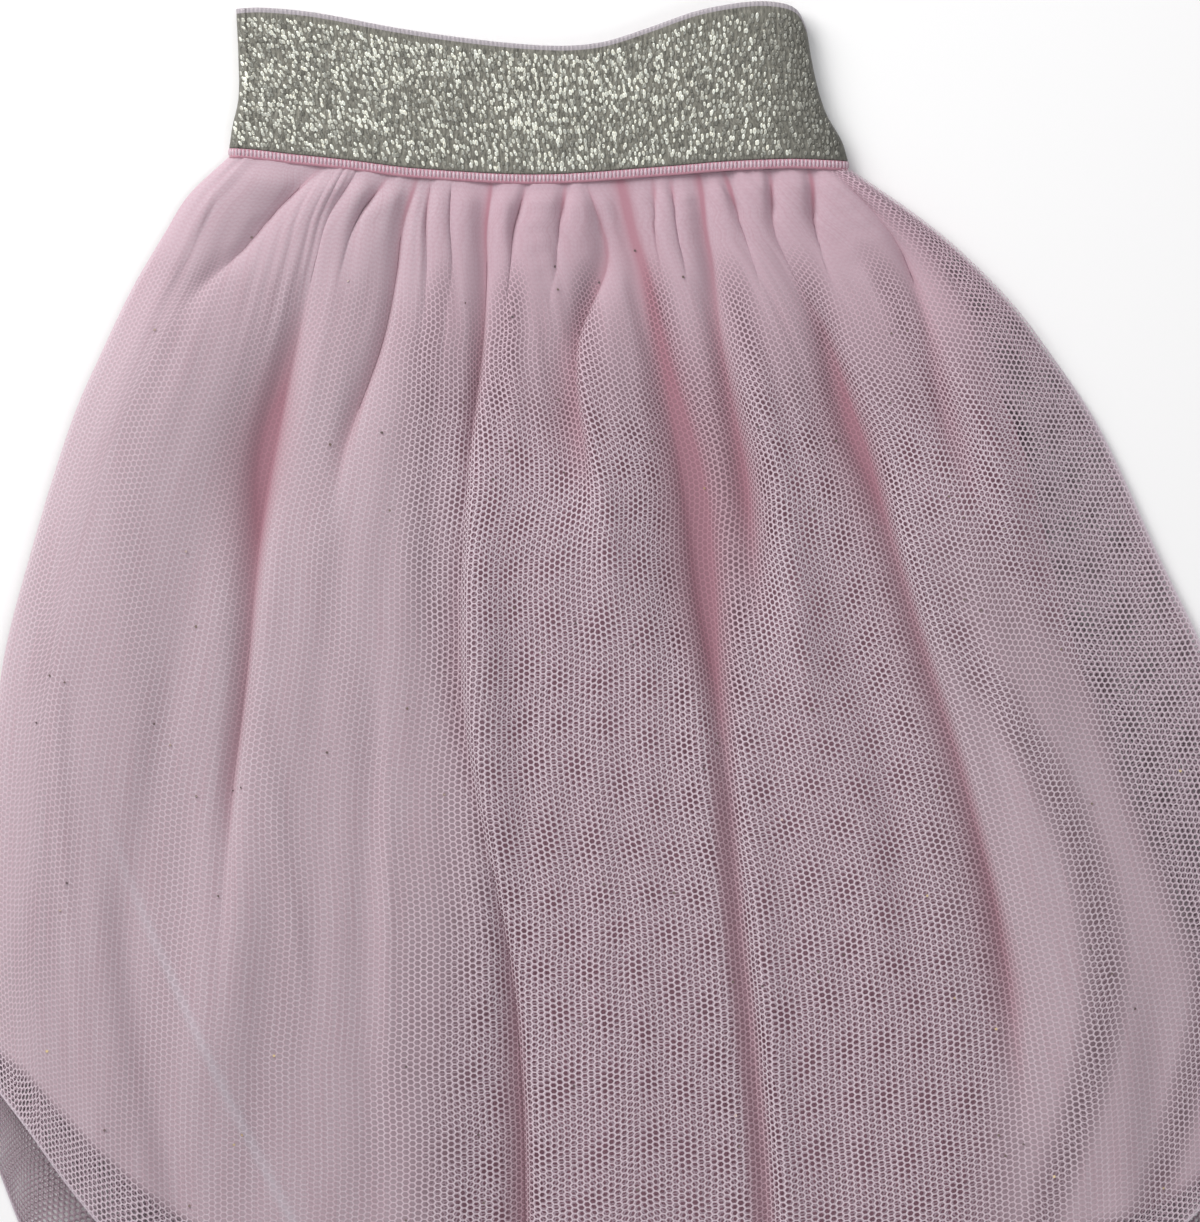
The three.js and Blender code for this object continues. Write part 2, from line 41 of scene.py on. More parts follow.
NET_WALL, LINING_WALL, BAND_WALL, EDGING_WALL, SEAM_GAP = 1.0, 1.0, 1.8, 1.5, 0.3
BAND_LOFT, BAND_SWELL, BAND_SWELL_AT, BAND_SWELL_WIDE = 6.2, 1.1, 0.84, 0.13
BAND_FOLD_LEFT, BAND_FOLD_RIGHT = 2.8, 8.5
EDGING_HEIGHT, EDGING_LOFT = 2.3, 6.5
LINING_BACK_LEVEL = NET_WALL + SEAM_GAP + LINING_WALL / 2
LINING_FRONT_LEVEL = LINING_BACK_LEVEL + LINING_WALL + SEAM_GAP
NET_FLOOR = LINING_FRONT_LEVEL + LINING_WALL / 2 + SEAM_GAP + NET_WALL / 2 + 0.2
NET_EDGE_LEVEL = NET_WALL + SEAM_GAP + 0.45
LINING_SWELL, LINING_REACH, LINING_RISES_IN = 0.45, 8.0, 14.0
FLOOR_BLEND, SIDE_BULGE = 1.4, 0.5
GATHER_START, GATHER_HEIGHT, GATHER_FULL_PITCH, GATHER_ROUND = 0.5, 2.6, 8.0, 0.6
GATHER_FULL_AT, GATHER_GONE_AT = 0.02, 0.12
CORE_SHARE, TROUGH_TIMES = 0.68, 2.8
WAIST_NARROWING, NARROWING_ENDS = 0.4, 0.3
EASING_FADES = 0.07
TRACK_AT = [0, 0.06, 0.14, 0.25, 0.45, 0.7, 1]
SWELL_AT = [0.25, 0.6, 1]

# The cut of the cloth
NET_CUT = (400.0, 300.0)
LINING_CUT = (310.0, 285.0)
ELASTIC_CUT = (312.0, 38.0)


def table(columns, rows):
    """A table as one array for each named column."""
    names = columns.split()
    return {n: ([r[i] for r in rows] if n in ("name", "track") else np.array([r[i] for r in rows], float))
            for i, n in enumerate(names)}


# Waist seam and hems, by share across
SEAMS = table("across waist hem back_hem lining", [
    (0.0, -11.2, -251.9, -272.0, -243.5),
    (0.03, -11.5, -264.4, -296.0, -250.5),
    (0.06, -12.0, -278.4, -304.0, -261.5),
    (0.1, -12.8, -293.5, -309.0, -274.5),
    (0.15, -13.6, -302.8, -312.0, -288.0),
    (0.2, -14.5, -308.8, -314.0, -296.0),
    (0.3, -16.5, -312.9, -316.0, -301.5),
    (0.5, -18.1, -314.9, -317.0, -303.5),
    (0.7, -16.1, -311.5, -315.5, -300.0),
    (0.8, -14.8, -305.7, -311.0, -295.0),
    (0.9, -14.1, -294.9, -303.0, -285.0),
    (0.94, -14.2, -284.4, -293.0, -277.0),
    (0.97, -14.4, -270.5, -279.0, -266.5),
    (1.0, -14.6, -253.8, -262.0, -253.0)])

# Outlines and height of the folds, by share of the length
SIDES = table("along left right lining_left lining_right loft round_left round_right", [
    (0, -81, 81, -76.4, 75.9, 4.9, 3.5, 3.5),
    (0.04, -91.2, 95, -86, 87.8, 7, 5.5, 5.5),
    (0.08, -97.3, 107.3, -91, 98.2, 9, 8, 8.5),
    (0.14, -105.8, 121.8, -98.9, 109.4, 11.4, 11, 14),
    (0.2, -112.8, 132.8, -106, 117.4, 13.2, 13, 22),
    (0.28, -121.3, 145.5, -114.4, 126.3, 14.6, 15, 36),
    (0.42, -131.9, 161.2, -125, 135.8, 15.2, 16, 56),
    (0.56, -140.2, 176.6, -133.1, 148.2, 15.2, 16, 64),
    (0.78, -144.5, 191.1, -137.5, 170, 14.6, 16, 56),
    (1, -142.5, 191.9, -135.5, 179, 12.8, 15, 44)])

# Gathers of the front: shares across at the lengths of TRACK_AT, notch, then the valley below it
FOLDS = table("name track notch reach depth start end left right lean", [
    ("dip", (0.149, 0.112, 0.062, 0.045, 0.04, 0.04, 0.04),
     0.6, 0.05, 3.2, 0, 0.17, 7, 4, 0),
    ("far_left", (0.206, 0.193, 0.191, 0.188, 0.194, 0.183, 0.166),
     0.8, 0.05, 12.5, 0.05, 0.8, 7.5, 3.2, 1),
    ("pucker_left", (0.257, 0.228, 0.222, 0.218, 0.218, 0.21, 0.198),
     1.6, 0.04, 2.2, 0, 0.07, 3.5, 1.8, 0),
    ("short_left", (0.303, 0.297, 0.288, 0.259, 0.251, 0.246, 0.24),
     1.6, 0.05, 5.5, 0, 0.33, 5, 2.8, 1),
    ("crease_1", (0.325, 0.332, 0.329, 0.331, 0.333, 0.327, 0.322),
     1.4, 0.07, 1.2, 0, 0.2, 3, 2, 0),
    ("crease_2", (0.358, 0.364, 0.355, 0.347, 0.35, 0.355, 0.355),
     0.3, 0.03, 0.6, 0.05, 0.3, 3, 2, 0),
    ("mid_left", (0.423, 0.412, 0.401, 0.386, 0.383, 0.414, 0.418),
     1.8, 0.08, 7, 0, 1.3, 5.5, 2.4, 1.4),
    ("crease_3", (0.477, 0.444, 0.423, 0.416, 0.423, 0.443, 0.448),
     1.8, 0.06, 1, 0, 0.15, 2.5, 2, 0),
    ("notch_mid", (0.541, 0.505, 0.467, 0.452, 0.458, 0.468, 0.471),
     3.4, 0.04, 0.8, 0, 0.1, 4, 2, 0),
    ("crescent", (0.574, 0.572, 0.509, 0.503, 0.504, 0.505, 0.504),
     1.4, 0.09, 7, 0.015, 0.32, 9, 2.6, 1.4),
    ("centre", (0.63, 0.613, 0.604, 0.608, 0.604, 0.597, 0.61),
     2, 0.05, 13, 0, 1.4, 6, 5, 1.2),
    ("notch_right_1", (0.681, 0.64, 0.622, 0.622, 0.619, 0.614, 0.627),
     2.6, 0.03, 0.5, 0, 0.08, 2.5, 2, 0),
    ("notch_right_2", (0.708, 0.668, 0.642, 0.64, 0.634, 0.629, 0.638),
     2.4, 0.03, 0.6, 0, 0.08, 2.5, 2, 0),
    ("right_short", (0.754, 0.706, 0.671, 0.662, 0.649, 0.648, 0.648),
     1.6, 0.05, 8.5, 0, 0.42, 4.5, 3, 0.8),
    ("notch_right_3", (0.795, 0.756, 0.729, 0.715, 0.706, 0.696, 0.696),
     4, 0.045, 1.6, 0, 0.09, 3.5, 2, 0),
    ("right_long", (0.867, 0.796, 0.789, 0.783, 0.791, 0.8, 0.797),
     3.2, 0.06, 12, 0.03, 0.92, 7, 3.4, 1.2),
    ("notch_right_4", (0.932, 0.849, 0.817, 0.817, 0.832, 0.842, 0.847),
     4, 0.06, 1.5, 0, 0.1, 3.5, 3, 0),
    ("shoulder", (0.968, 0.946, 0.905, 0.871, 0.877, 0.877, 0.877),
     0.8, 0.06, 5, 0.02, 0.36, 5, 5, 0)])

# Broad rises and dips between the valleys
SWELLS = table("name upper lower hem height start end wide", [
    ("left_side", 0.085, 0.085, 0.09, 2.5, 0.05, 1.2, 15),
    ("left_step", 0.2, 0.21, 0.24, 1.6, 0.35, 1.2, 12),
    ("pale_line", 0.318, 0.304, 0.297, -1.8, 0.38, 1.0, 4.5),
    ("beside_crescent", 0.512, 0.545, 0.55, 3.0, 0.1, 0.42, 5),
    ("beside_short", 0.69, 0.672, 0.67, 3.0, 0.1, 0.56, 5),
    ("dip_before_long", 0.724, 0.73, 0.735, -1.5, 0.3, 0.8, 6),
    ("right_shoulder", 0.905, 0.915, 0.92, 3.0, 0.08, 0.4, 7),
    ("right_broad", 0.86, 0.85, 0.85, 2.6, 0.35, 1.0, 14),
    ("right_hem_dip", 0.9, 0.9, 0.91, -1.4, 0.7, 1.3, 6),
    ("left_hem_dip", 0.1, 0.096, 0.16, -3, 0.55, 1.2, 6),
    ("far_left_eases", 0.19, 0.185, 0.17, 7.5, 0.24, 0.95, 10),
    ("mid_left_eases", 0.386, 0.4, 0.42, 5.5, 0.14, 0.82, 7),
    ("centre_eases", 0.605, 0.598, 0.61, 9, 0.34, 1.4, 9),
    ("long_eases", 0.784, 0.795, 0.8, 6, 0.22, 0.76, 9)])

BAND_TOP = table("across y", [
    (0, 27.6), (0.05, 27.8), (0.14, 26.5), (0.28, 22.6), (0.43, 19.4), (0.56, 17.9), (0.64, 18.8),
    (0.72, 22.4), (0.81, 27), (0.9, 29.3), (0.955, 29), (0.985, 27), (1, 22.5)])
BAND_SIDES = table("up left right", [
    (0, -81, 80.2), (0.15, -80.2, 78.6), (0.36, -78.6, 74.5), (0.64, -78.6, 71.6), (1, -79.2, 69.4)])


def smooth_through(at, value):
    """Smooth curve through values, as in the part's own tables."""
    at, value = np.asarray(at, float), np.asarray(value, float)
    last = len(at) - 1
    a, b = np.maximum(np.arange(last + 1) - 1, 0), np.minimum(np.arange(last + 1) + 1, last)
    slope = (value[b] - value[a]) / (at[b] - at[a])

    def f(x):
        x = np.asarray(x, float)
        i = np.clip(np.searchsorted(at, x, side="left") - 1, 0, last - 1)
        span = at[i + 1] - at[i]
        t = np.clip((x - at[i]) / span, 0, 1)
        after = np.where(x > at[last], slope[last] * (x - at[last]), 0)
        past = np.where(x < at[0], slope[0] * (x - at[0]), after)
        return (value[i] * (2 * t**3 - 3 * t**2 + 1) + value[i + 1] * (3 * t**2 - 2 * t**3) + past
                + span * (slope[i] * (t**3 - 2 * t**2 + t) + slope[i + 1] * (t**3 - t**2)))
    return f


def smoothstep(x, a, b):
    t = np.clip((np.asarray(x, float) - a) / (b - a), 0, 1)
    return t * t * (3 - 2 * t)


def lerp(a, b, t):
    return a + (b - a) * t


SEAM = {k: smooth_through(SEAMS["across"], SEAMS[k]) for k in ("waist", "hem", "back_hem", "lining")}
SIDE = {k: smooth_through(SIDES["along"], v) for k, v in SIDES.items() if k != "along"}
FOLD_TRACKS = [smooth_through(TRACK_AT, track) for track in FOLDS["track"]]
SWELL_TRACKS = [smooth_through(SWELL_AT, [SWELLS[k][i] for k in ("upper", "lower", "hem")])
                for i in range(len(SWELLS["name"]))]


def lines_at(along):
    return np.array([0.0] + [float(t(along)) for t in FOLD_TRACKS] + [1.0])


def presence(start, end, along):
    rise = min(max(0.05, 0.25 * (end - start)), 0.2)
    fall = max(0.06, 0.4 * (min(end, 1) - start))
    begun = 1.0 if start <= 0 else float(smoothstep(along, start, start + rise))
    return begun * (1 - float(smoothstep(along, end - fall, end)))


def front_net(across, along, fine=0.0):
    """Middle of the front net for an array of shares across, at one share of the length."""
    across = np.asarray(across, float)
    left = float(SIDE["left"](along))
    width = float(SIDE["right"](along)) - left
    narrow = lerp(WAIST_NARROWING, 1, float(smoothstep(along, 0, NARROWING_ENDS)))
    x = left + width * across
    height = np.full_like(across, float(SIDE["loft"](along)))
    deep = np.zeros_like(across)
    for i, track in enumerate(SWELL_TRACKS):
        away = (across - float(track(along))) * width
        there = presence(SWELLS["start"][i], SWELLS["end"][i], along)
        swell = SWELLS["height"][i] * there * np.exp(-(away / (SWELLS["wide"][i] * narrow)) ** 2)
        height += swell
        # Easings lift the cloth and take away some of its painted shade
        if SWELLS["name"][i].endswith("_eases"):
            deep -= swell * EASING_FADES
    lines = lines_at(along)
    grow = lerp(GATHER_START, GATHER_HEIGHT, float(smoothstep(along, 0, GATHER_FULL_AT)))
    gather = grow * (1 - float(smoothstep(along, GATHER_FULL_AT, GATHER_GONE_AT)))
    k = np.clip(np.searchsorted(lines, across, side="right") - 1, 0, len(lines) - 2)
    pitch = lines[k + 1] - lines[k]
    share = np.clip((across - lines[k]) / pitch, 0, 1)
    full = np.minimum(1, pitch * width / GATHER_FULL_PITCH)
    height += gather * full * np.maximum(np.sin(np.pi * share), 0) ** GATHER_ROUND
    if fine:
        height += fine * ripples(across, along, share, width)
    shift = np.zeros_like(across)
    for i in range(len(FOLD_TRACKS)):
        away = (across - lines[i + 1]) * width
        half = np.where(away < 0, FOLDS["left"][i], FOLDS["right"][i]) * narrow
        core = (1 + (away / half) ** 2) ** -1.6
        trough = np.exp(-(away / (half * TROUGH_TIMES)) ** 2)
        there = presence(FOLDS["start"][i], FOLDS["end"][i], along)
        height -= FOLDS["depth"][i] * there * (CORE_SHARE * core + (1 - CORE_SHARE) * trough)
        reach = FOLDS["reach"][i]
        begun = float(smoothstep(along, -0.01, 0.012))
        notch = FOLDS["notch"][i] * begun * (1 - float(smoothstep(along, 0.3 * reach, reach)))
        height -= notch * np.exp(-(away / 1.5) ** 2)
        # Painted shade for the colour: deep grows in each valley and in the crevices of the notches and
        # gathers
        deep += FOLDS["depth"][i] / 12.5 * there * (0.75 * core + 0.25 * trough)
        deep += (0.55 * notch / 3.0 + 0.3 * gather / GATHER_HEIGHT) * np.exp(-(away / 0.9) ** 2)
        brow = (away - 1.5 * FOLDS["right"][i] * narrow) / (1.3 * FOLDS["right"][i] * narrow)
        shift += FOLDS["lean"][i] * narrow * there * np.exp(-brow ** 2)
    above = height - NET_FLOOR
    height = NET_FLOOR + (above + np.sqrt(above ** 2 + FLOOR_BLEND ** 2)) / 2
    from_left = np.sin(np.pi / 2 * np.clip(across * width / float(SIDE["round_left"](along)), 0, 1))
    from_right = np.sin(np.pi / 2 * np.clip((1 - across) * width / float(SIDE["round_right"](along)), 0, 1))
    bulge_right = lerp(SIDE_BULGE, 1, float(smoothstep(along, 0.1, 0.35)))
    round_off = from_left ** SIDE_BULGE * from_right ** bulge_right
    height = NET_EDGE_LEVEL + (height - NET_EDGE_LEVEL) * round_off
    x = x - shift * smoothstep(np.minimum(across, 1 - across) * width, 0, 8)
    y = lerp(SEAM["waist"](across), SEAM["hem"](across), along)
    return np.stack([x, y, height, np.clip(deep, 0, 1)], axis=-1)


# Fine creases that run down the cloth: waves across the panel, drift, height,
# and where they start and end as shares of the length
RIPPLES = table("waves drift height start end", [
    (37.0, 1.1, 0.30, 0.0, 0.30),
    (61.0, -1.7, 0.22, 0.0, 0.22),
    (97.0, 2.3, 0.20, 0.0, 0.14),
    (23.0, 1.4, 0.30, 0.1, 0.80),
    (13.0, -0.8, 0.35, 0.3, 1.20),
    (29.0, 2.0, 0.16, 0.4, 1.20)])


# Single creases: share across at the lengths of CREASE_AT, height, half width,
# and where they start and end as shares of the length
CREASE_AT = [0.3, 0.45, 0.6, 0.8, 1]
CREASES = table("name track height wide start end", [
    ("diagonal_to_hem", (0.02, 0.045, 0.088, 0.18, 0.274), 1.4, 1.3, 0.54, 1.4),
    ("far_left_ridge", (0.03, 0.04, 0.052, 0.074, 0.09), 0.7, 2.2, 0.45, 0.95),
    ("left_ridge", (0.2, 0.21, 0.232, 0.26, 0.28), 0.7, 2.5, 0.42, 0.8),
    ("pale_line", (0.31, 0.316, 0.318, 0.313, 0.31), 0.7, 1.2, 0.4, 0.85)])
CREASE_TRACKS = [smooth_through(CREASE_AT, track) for track in CREASES["track"]]


def ripples(across, along, share, width):
    total = np.zeros_like(across)
    for i, track in enumerate(CREASE_TRACKS):
        away = (across - float(track(along))) * width / CREASES["wide"][i]
        there = presence(CREASES["start"][i], CREASES["end"][i], along)
        total += CREASES["height"][i] * there * np.exp(-away ** 2)
    kinds = zip(*(RIPPLES[k] for k in ("waves", "drift", "height", "start", "end")))
    for i, (w, d, h, s, e) in enumerate(kinds):
        begun = 1.0 if s <= 0 else float(smoothstep(along, s, s + 0.15))
        there = (1 - float(smoothstep(along, e - 0.12, e))) * begun
        beat = 0.55 + 0.45 * np.sin(2 * np.pi * (across * w * 0.137 + 1.9 * i + along * (1 + 0.3 * i)))
        total += h * there * beat * np.sin(2 * np.pi * (across * w + d * along) + 2.4 * i)
    return total


def lowest_net(across, along):
    reach = LINING_REACH / float(SIDE["right"](along) - SIDE["left"](along))
    least = None
    for b in (-0.02, 0, 0.02):
        for a in (-1, -0.5, 0, 0.5, 1):
            z = front_net(np.clip(across + a * reach, 0, 1), min(max(along + b, 0), 1))[:, 2]
            least = z if least is None else np.minimum(least, z)
    return np.maximum(0, least - NET_FLOOR)


def lining_points(share, along, level, swell):
    x = lerp(float(SIDE["lining_left"](along)), float(SIDE["lining_right"](along)), share)
    left, right = float(SIDE["left"](along)), float(SIDE["right"](along))
    across = np.clip((x - left) / (right - left), 0, 1)
    y = lerp(SEAM["waist"](across) - 0.1, SEAM["lining"](across), along)
    z = np.full_like(x, level)
    if swell:
        width = float(SIDE["lining_right"](along) - SIDE["lining_left"](along))
        inward = np.minimum(share, 1 - share) * width
        z += swell * lowest_net(across, along) * smoothstep(inward, 0, LINING_RISES_IN)
    return np.stack([x, y, z], axis=-1)


def steps_between(pitch_mm):
    """Columns in each gather, about one for each pitch of its width halfway down."""
    widths = np.diff(lines_at(0.5)) * float(SIDE["right"](0.5) - SIDE["left"](0.5))
    return [max(8, math.ceil(w / pitch_mm)) for w in widths]


def columns_at(along, steps):
    lines = lines_at(along)
    width = float(SIDE["right"](along) - SIDE["left"](along))
    edge_left = min(float(SIDE["round_left"](along)) / width, lines[1] * 0.5)
    edge_right = min(0.1, 12 / width)
    last = max(1 - edge_right, lerp(lines[-2], 1, 0.5))
    t_edge = np.linspace(0, 1, 10, endpoint=False) ** 1.8
    cols = [edge_left * t_edge]
    for i in range(len(lines) - 1):
        start = edge_left if i == 0 else lines[i]
        end = last if i == len(lines) - 2 else lines[i + 1]
        t = np.arange(steps[i]) / steps[i]
        cols.append(lerp(start, end, t - 0.1 * np.sin(2 * np.pi * t)))
    cols.append(lerp(last, 1, 1 - np.linspace(1, 0, 11) ** 1.8))
    return np.concatenate(cols)


def grid_normals(grid):
    across = np.gradient(grid, axis=1)
    along = np.gradient(grid, axis=0)
    n = np.cross(along, across)
    return n / np.maximum(np.linalg.norm(n, axis=-1, keepdims=True), 1e-9)


def arc_share(grid):
    """Arc length across each row, as a share of the row."""
    step = np.linalg.norm(np.diff(grid, axis=1), axis=-1)
    arc = np.concatenate([np.zeros((len(grid), 1)), np.cumsum(step, axis=1)], axis=1)
    return arc / arc[:, -1:]


# Materials

def material(name):
    m = bpy.data.materials.new(name)
    m.use_nodes = True
    m.node_tree.nodes.clear()
    return m, m.node_tree


class Tree:
    """Short calls for wiring a material's nodes."""

    def __init__(self, name):
        self.mat, self.tree = material(name)
        self.out = self.node("ShaderNodeOutputMaterial")

    def node(self, kind, **props):
        n = self.tree.nodes.new(kind)
        for k, v in props.items():
            setattr(n, k, v)
        return n

    def put(self, node, socket, value):
        s = node.inputs[socket]
        if isinstance(value, bpy.types.NodeSocket):
            self.tree.links.new(value, s)
        else:
            s.default_value = value

    def math(self, op, *args, clamp=False):
        n = self.node("ShaderNodeMath", operation=op, use_clamp=clamp)
        for i, a in enumerate(args):
            self.put(n, i, a)
        return n.outputs[0]

    def vec(self, op, *args):
        n = self.node("ShaderNodeVectorMath", operation=op)
        for i, a in enumerate(args):
            if op == "SCALE" and i == 1:
                self.put(n, "Scale", a)
            else:
                self.put(n, i, a)
        return n.outputs["Value" if op in ("LENGTH", "DOT_PRODUCT") else "Vector"]

    def uv(self):
        return self.node("ShaderNodeUVMap", uv_map="cloth").outputs[0]

    def noise(self, vector, scale, detail=2.0, rough=0.5):
        n = self.node("ShaderNodeTexNoise")
        self.put(n, "Vector", vector)
        self.put(n, "Scale", scale)
        self.put(n, "Detail", detail)
        self.put(n, "Roughness", rough)
        return n.outputs["Fac"]

    def attribute(self, name):
        return self.node("ShaderNodeAttribute", attribute_name=name).outputs["Fac"]

    def mix(self, fac, a, b):
        n = self.node("ShaderNodeMix", data_type="RGBA")
        self.put(n, 0, fac)
        self.put(n, 6, a)
        self.put(n, 7, b)
        return n.outputs[2]

    def ramp(self, fac, low, high, a=0.0, b=1.0):
        n = self.node("ShaderNodeMapRange")
        for k, v in ((0, fac), (1, low), (2, high), (3, a), (4, b)):
            self.put(n, k, v)
        return n.outputs[0]

    def bump(self, height, strength, distance):
        n = self.node("ShaderNodeBump")
        self.put(n, "Height", height)
        self.put(n, "Strength", strength)
        self.put(n, "Distance", distance)
        return n.outputs[0]

    def principled(self, **values):
        n = self.node("ShaderNodeBsdfPrincipled")
        for k, v in values.items():
            self.put(n, k.replace("_", " "), v)
        return n.outputs[0]

    def mix_shader(self, fac, a, b):
        n = self.node("ShaderNodeMixShader")
        self.put(n, 0, fac)
        self.tree.links.new(a, n.inputs[1])
        self.tree.links.new(b, n.inputs[2])
        return n.outputs[0]

    def finish(self, shader):
        self.tree.links.new(shader, self.out.inputs[0])
        return self.mat


# Net: staggered columns of small six-sided holes
HOLE_COLUMN, HOLE_ROW = 1.70, 1.58
HOLE_WIDE, HOLE_TALL = 1.38, 1.16
# Where the net is gathered close: rows of scallops and upright threads
SCALLOP, RIB = 1.25, 0.7


WAIST_PINK = (0.68, 0.48, 0.56, 1)
# Painted shade in the crevices of the gathers near the waist
WAIST_FOLD_SHADE = (0.58, 0.27, 0.34, 1)


def net_material(name, yarn, shade, deep, turn=0.0, stretch=(1.0, 1.0, 1.0), warp=0.0006):
    """Sheer net in the cloth's own flat measure; turn, stretch and warp set it against the net below."""
    t = Tree(name)
    uv = t.uv()
    rot = t.node("ShaderNodeVectorRotate", rotation_type="Z_AXIS")
    t.put(rot, "Vector", uv)
    t.put(rot, "Angle", math.radians(turn))
    p = t.vec("MULTIPLY", rot.outputs[0], stretch)
    wob = t.node("ShaderNodeTexNoise")
    t.put(wob, "Vector", p)
    t.put(wob, "Scale", 26.0)
    t.put(wob, "Detail", 0.0)
    drift = t.vec("SCALE", t.vec("SUBTRACT", wob.outputs["Color"], (0.5, 0.5, 0.5)), warp * 2)
    p = t.vec("ADD", p, drift)
    cell = (2 * HOLE_COLUMN * MM, HOLE_ROW * MM, 1.0)
    size = (2 * HOLE_COLUMN / HOLE_WIDE, HOLE_ROW / HOLE_TALL, 0.0)
    parts = []
    for offset in ((0.5, 0.5, 0.0), (0.0, 0.0, 0.0)):
        q = t.vec("FRACTION", t.vec("ADD", t.vec("DIVIDE", p, cell), offset))
        q = t.vec("MULTIPLY", t.vec("ABSOLUTE", t.vec("SUBTRACT", q, (0.5, 0.5, 0.5))), size)
        xyz = t.node("ShaderNodeSeparateXYZ")
        t.put(xyz, 0, q)
        x, y = xyz.outputs[0], xyz.outputs[1]
        slant = t.math("ADD", t.math("MULTIPLY", x, 1.72), y)
        parts.append(t.math("MAXIMUM", slant, t.math("MULTIPLY", y, 2.0)))
    d = t.math("MINIMUM", parts[0], parts[1])
    fold, close, waist = t.attribute("fold"), t.attribute("close"), t.attribute("waist")
    solid = t.ramp(d, 0.95, 1.1)
    solid = t.math("MAXIMUM", solid, t.math("MULTIPLY", t.ramp(fold, 0.25, 0.8), 0.75))
    solid = t.math("MAXIMUM", solid, t.math("MULTIPLY", close, 1.06), clamp=True)
    solid = t.math("MAXIMUM", solid, t.ramp(t.attribute("rim"), 0.3, 0.8, 0.0, 0.92))
    twist = t.noise(p, 2400.0, 1.0, 0.7)
    cloud = t.noise(p, 38.0, 1.0)
    threads = t.noise(t.vec("MULTIPLY", uv, (1.0, 0.03, 1.0)), 1300.0, 1.0)
    # The yarn is paler in its middle than at its edges: painted shading of the round yarn
    colour = t.mix(t.math("MAXIMUM", t.ramp(d, 1.0, 1.22), t.math("MULTIPLY", close, 0.75)), shade, yarn)
    colour = t.mix(t.ramp(twist, 0.3, 0.65, 0.35, 0.0), colour, shade)
    colour = t.mix(t.ramp(cloud, 0.35, 0.7, 0.0, 0.12), colour, shade)
    glint = t.math("MULTIPLY", t.ramp(twist, 0.6, 0.78), t.ramp(d, 1.1, 1.3))
    colour = t.mix(t.math("MULTIPLY", glint, 0.6), colour, (0.92, 0.88, 0.91, 1))
    colour = t.mix(t.math("MULTIPLY", close, 0.25), colour, shade)
    place = t.node("ShaderNodeSeparateXYZ")
    t.put(place, 0, p)
    along_x, along_y = place.outputs[0], place.outputs[1]
    wave = t.math("SINE", t.math("MULTIPLY", along_x, math.pi / (HOLE_COLUMN * MM)))
    scallop = t.math("MULTIPLY", wave, 1.2)
    rows_phase = t.math("ADD", t.math("MULTIPLY", along_y, 2 * math.pi / (SCALLOP * MM)), scallop)
    ribs = t.math("SINE", t.math("MULTIPLY", along_x, 2 * math.pi / (RIB * MM)))
    weave = t.math("ADD", t.math("SINE", rows_phase), t.math("MULTIPLY", ribs, 0.6))
    colour = t.mix(t.math("MULTIPLY", close, t.ramp(weave, -0.4, 1.6, 0.0, 0.34)), colour, deep)
    colour = t.mix(t.math("MULTIPLY", waist, 0.6), colour, WAIST_PINK)
    colour = t.mix(t.math("MULTIPLY", close, t.ramp(threads, 0.4, 0.75, 0.0, 0.22)), colour, deep)
    # Fold valleys darken towards the deep pink: painted shade, with the pinker look of the net's stacked
    # layers
    fold_shade_tone = t.mix(waist, deep, WAIST_FOLD_SHADE)
    colour = t.mix(t.ramp(fold, 0.15, 0.75, 0.0, 0.85), colour, fold_shade_tone)
    # Painted highlight along the diagonal crease; the net's rim is also paler towards the hem and sides
    pale = t.math("MAXIMUM", t.attribute("pale"), t.ramp(t.attribute("rim"), 0.4, 0.9))
    colour = t.mix(t.math("MULTIPLY", pale, 0.6), colour, (0.74, 0.68, 0.74, 1))
    diffuse = t.node("ShaderNodeBsdfDiffuse")
    t.put(diffuse, "Color", colour)
    t.put(diffuse, "Roughness", 0.6)
    through = t.node("ShaderNodeBsdfTranslucent")
    t.put(through, "Color", colour)
    body = t.mix_shader(0.2, diffuse.outputs[0], through.outputs[0])
    clear = t.node("ShaderNodeBsdfTransparent")
    return t.finish(t.mix_shader(solid, clear.outputs[0], body))


def lining_material(name, colour, dark):
    t = Tree(name)
    uv = t.uv()
    waves = []
    for axis, count in ((0, 2400.0), (1, 2000.0)):
        xyz = t.node("ShaderNodeSeparateXYZ")
        t.put(xyz, 0, uv)
        waves.append(t.math("SINE", t.math("MULTIPLY", xyz.outputs[axis], count * math.pi)))
    weave = t.math("MULTIPLY", waves[0], waves[1])
    soft = t.noise(uv, 24.0, 3.0)
    base = t.mix(t.ramp(soft, 0.3, 0.7), colour, dark)
    normal = t.bump(weave, 0.25, 0.00006)
    return t.finish(t.principled(Base_Color=base, Roughness=0.55, Specular_IOR_Level=0.35,
                                 Sheen_Weight=0.25, Sheen_Roughness=0.4, Normal=normal))


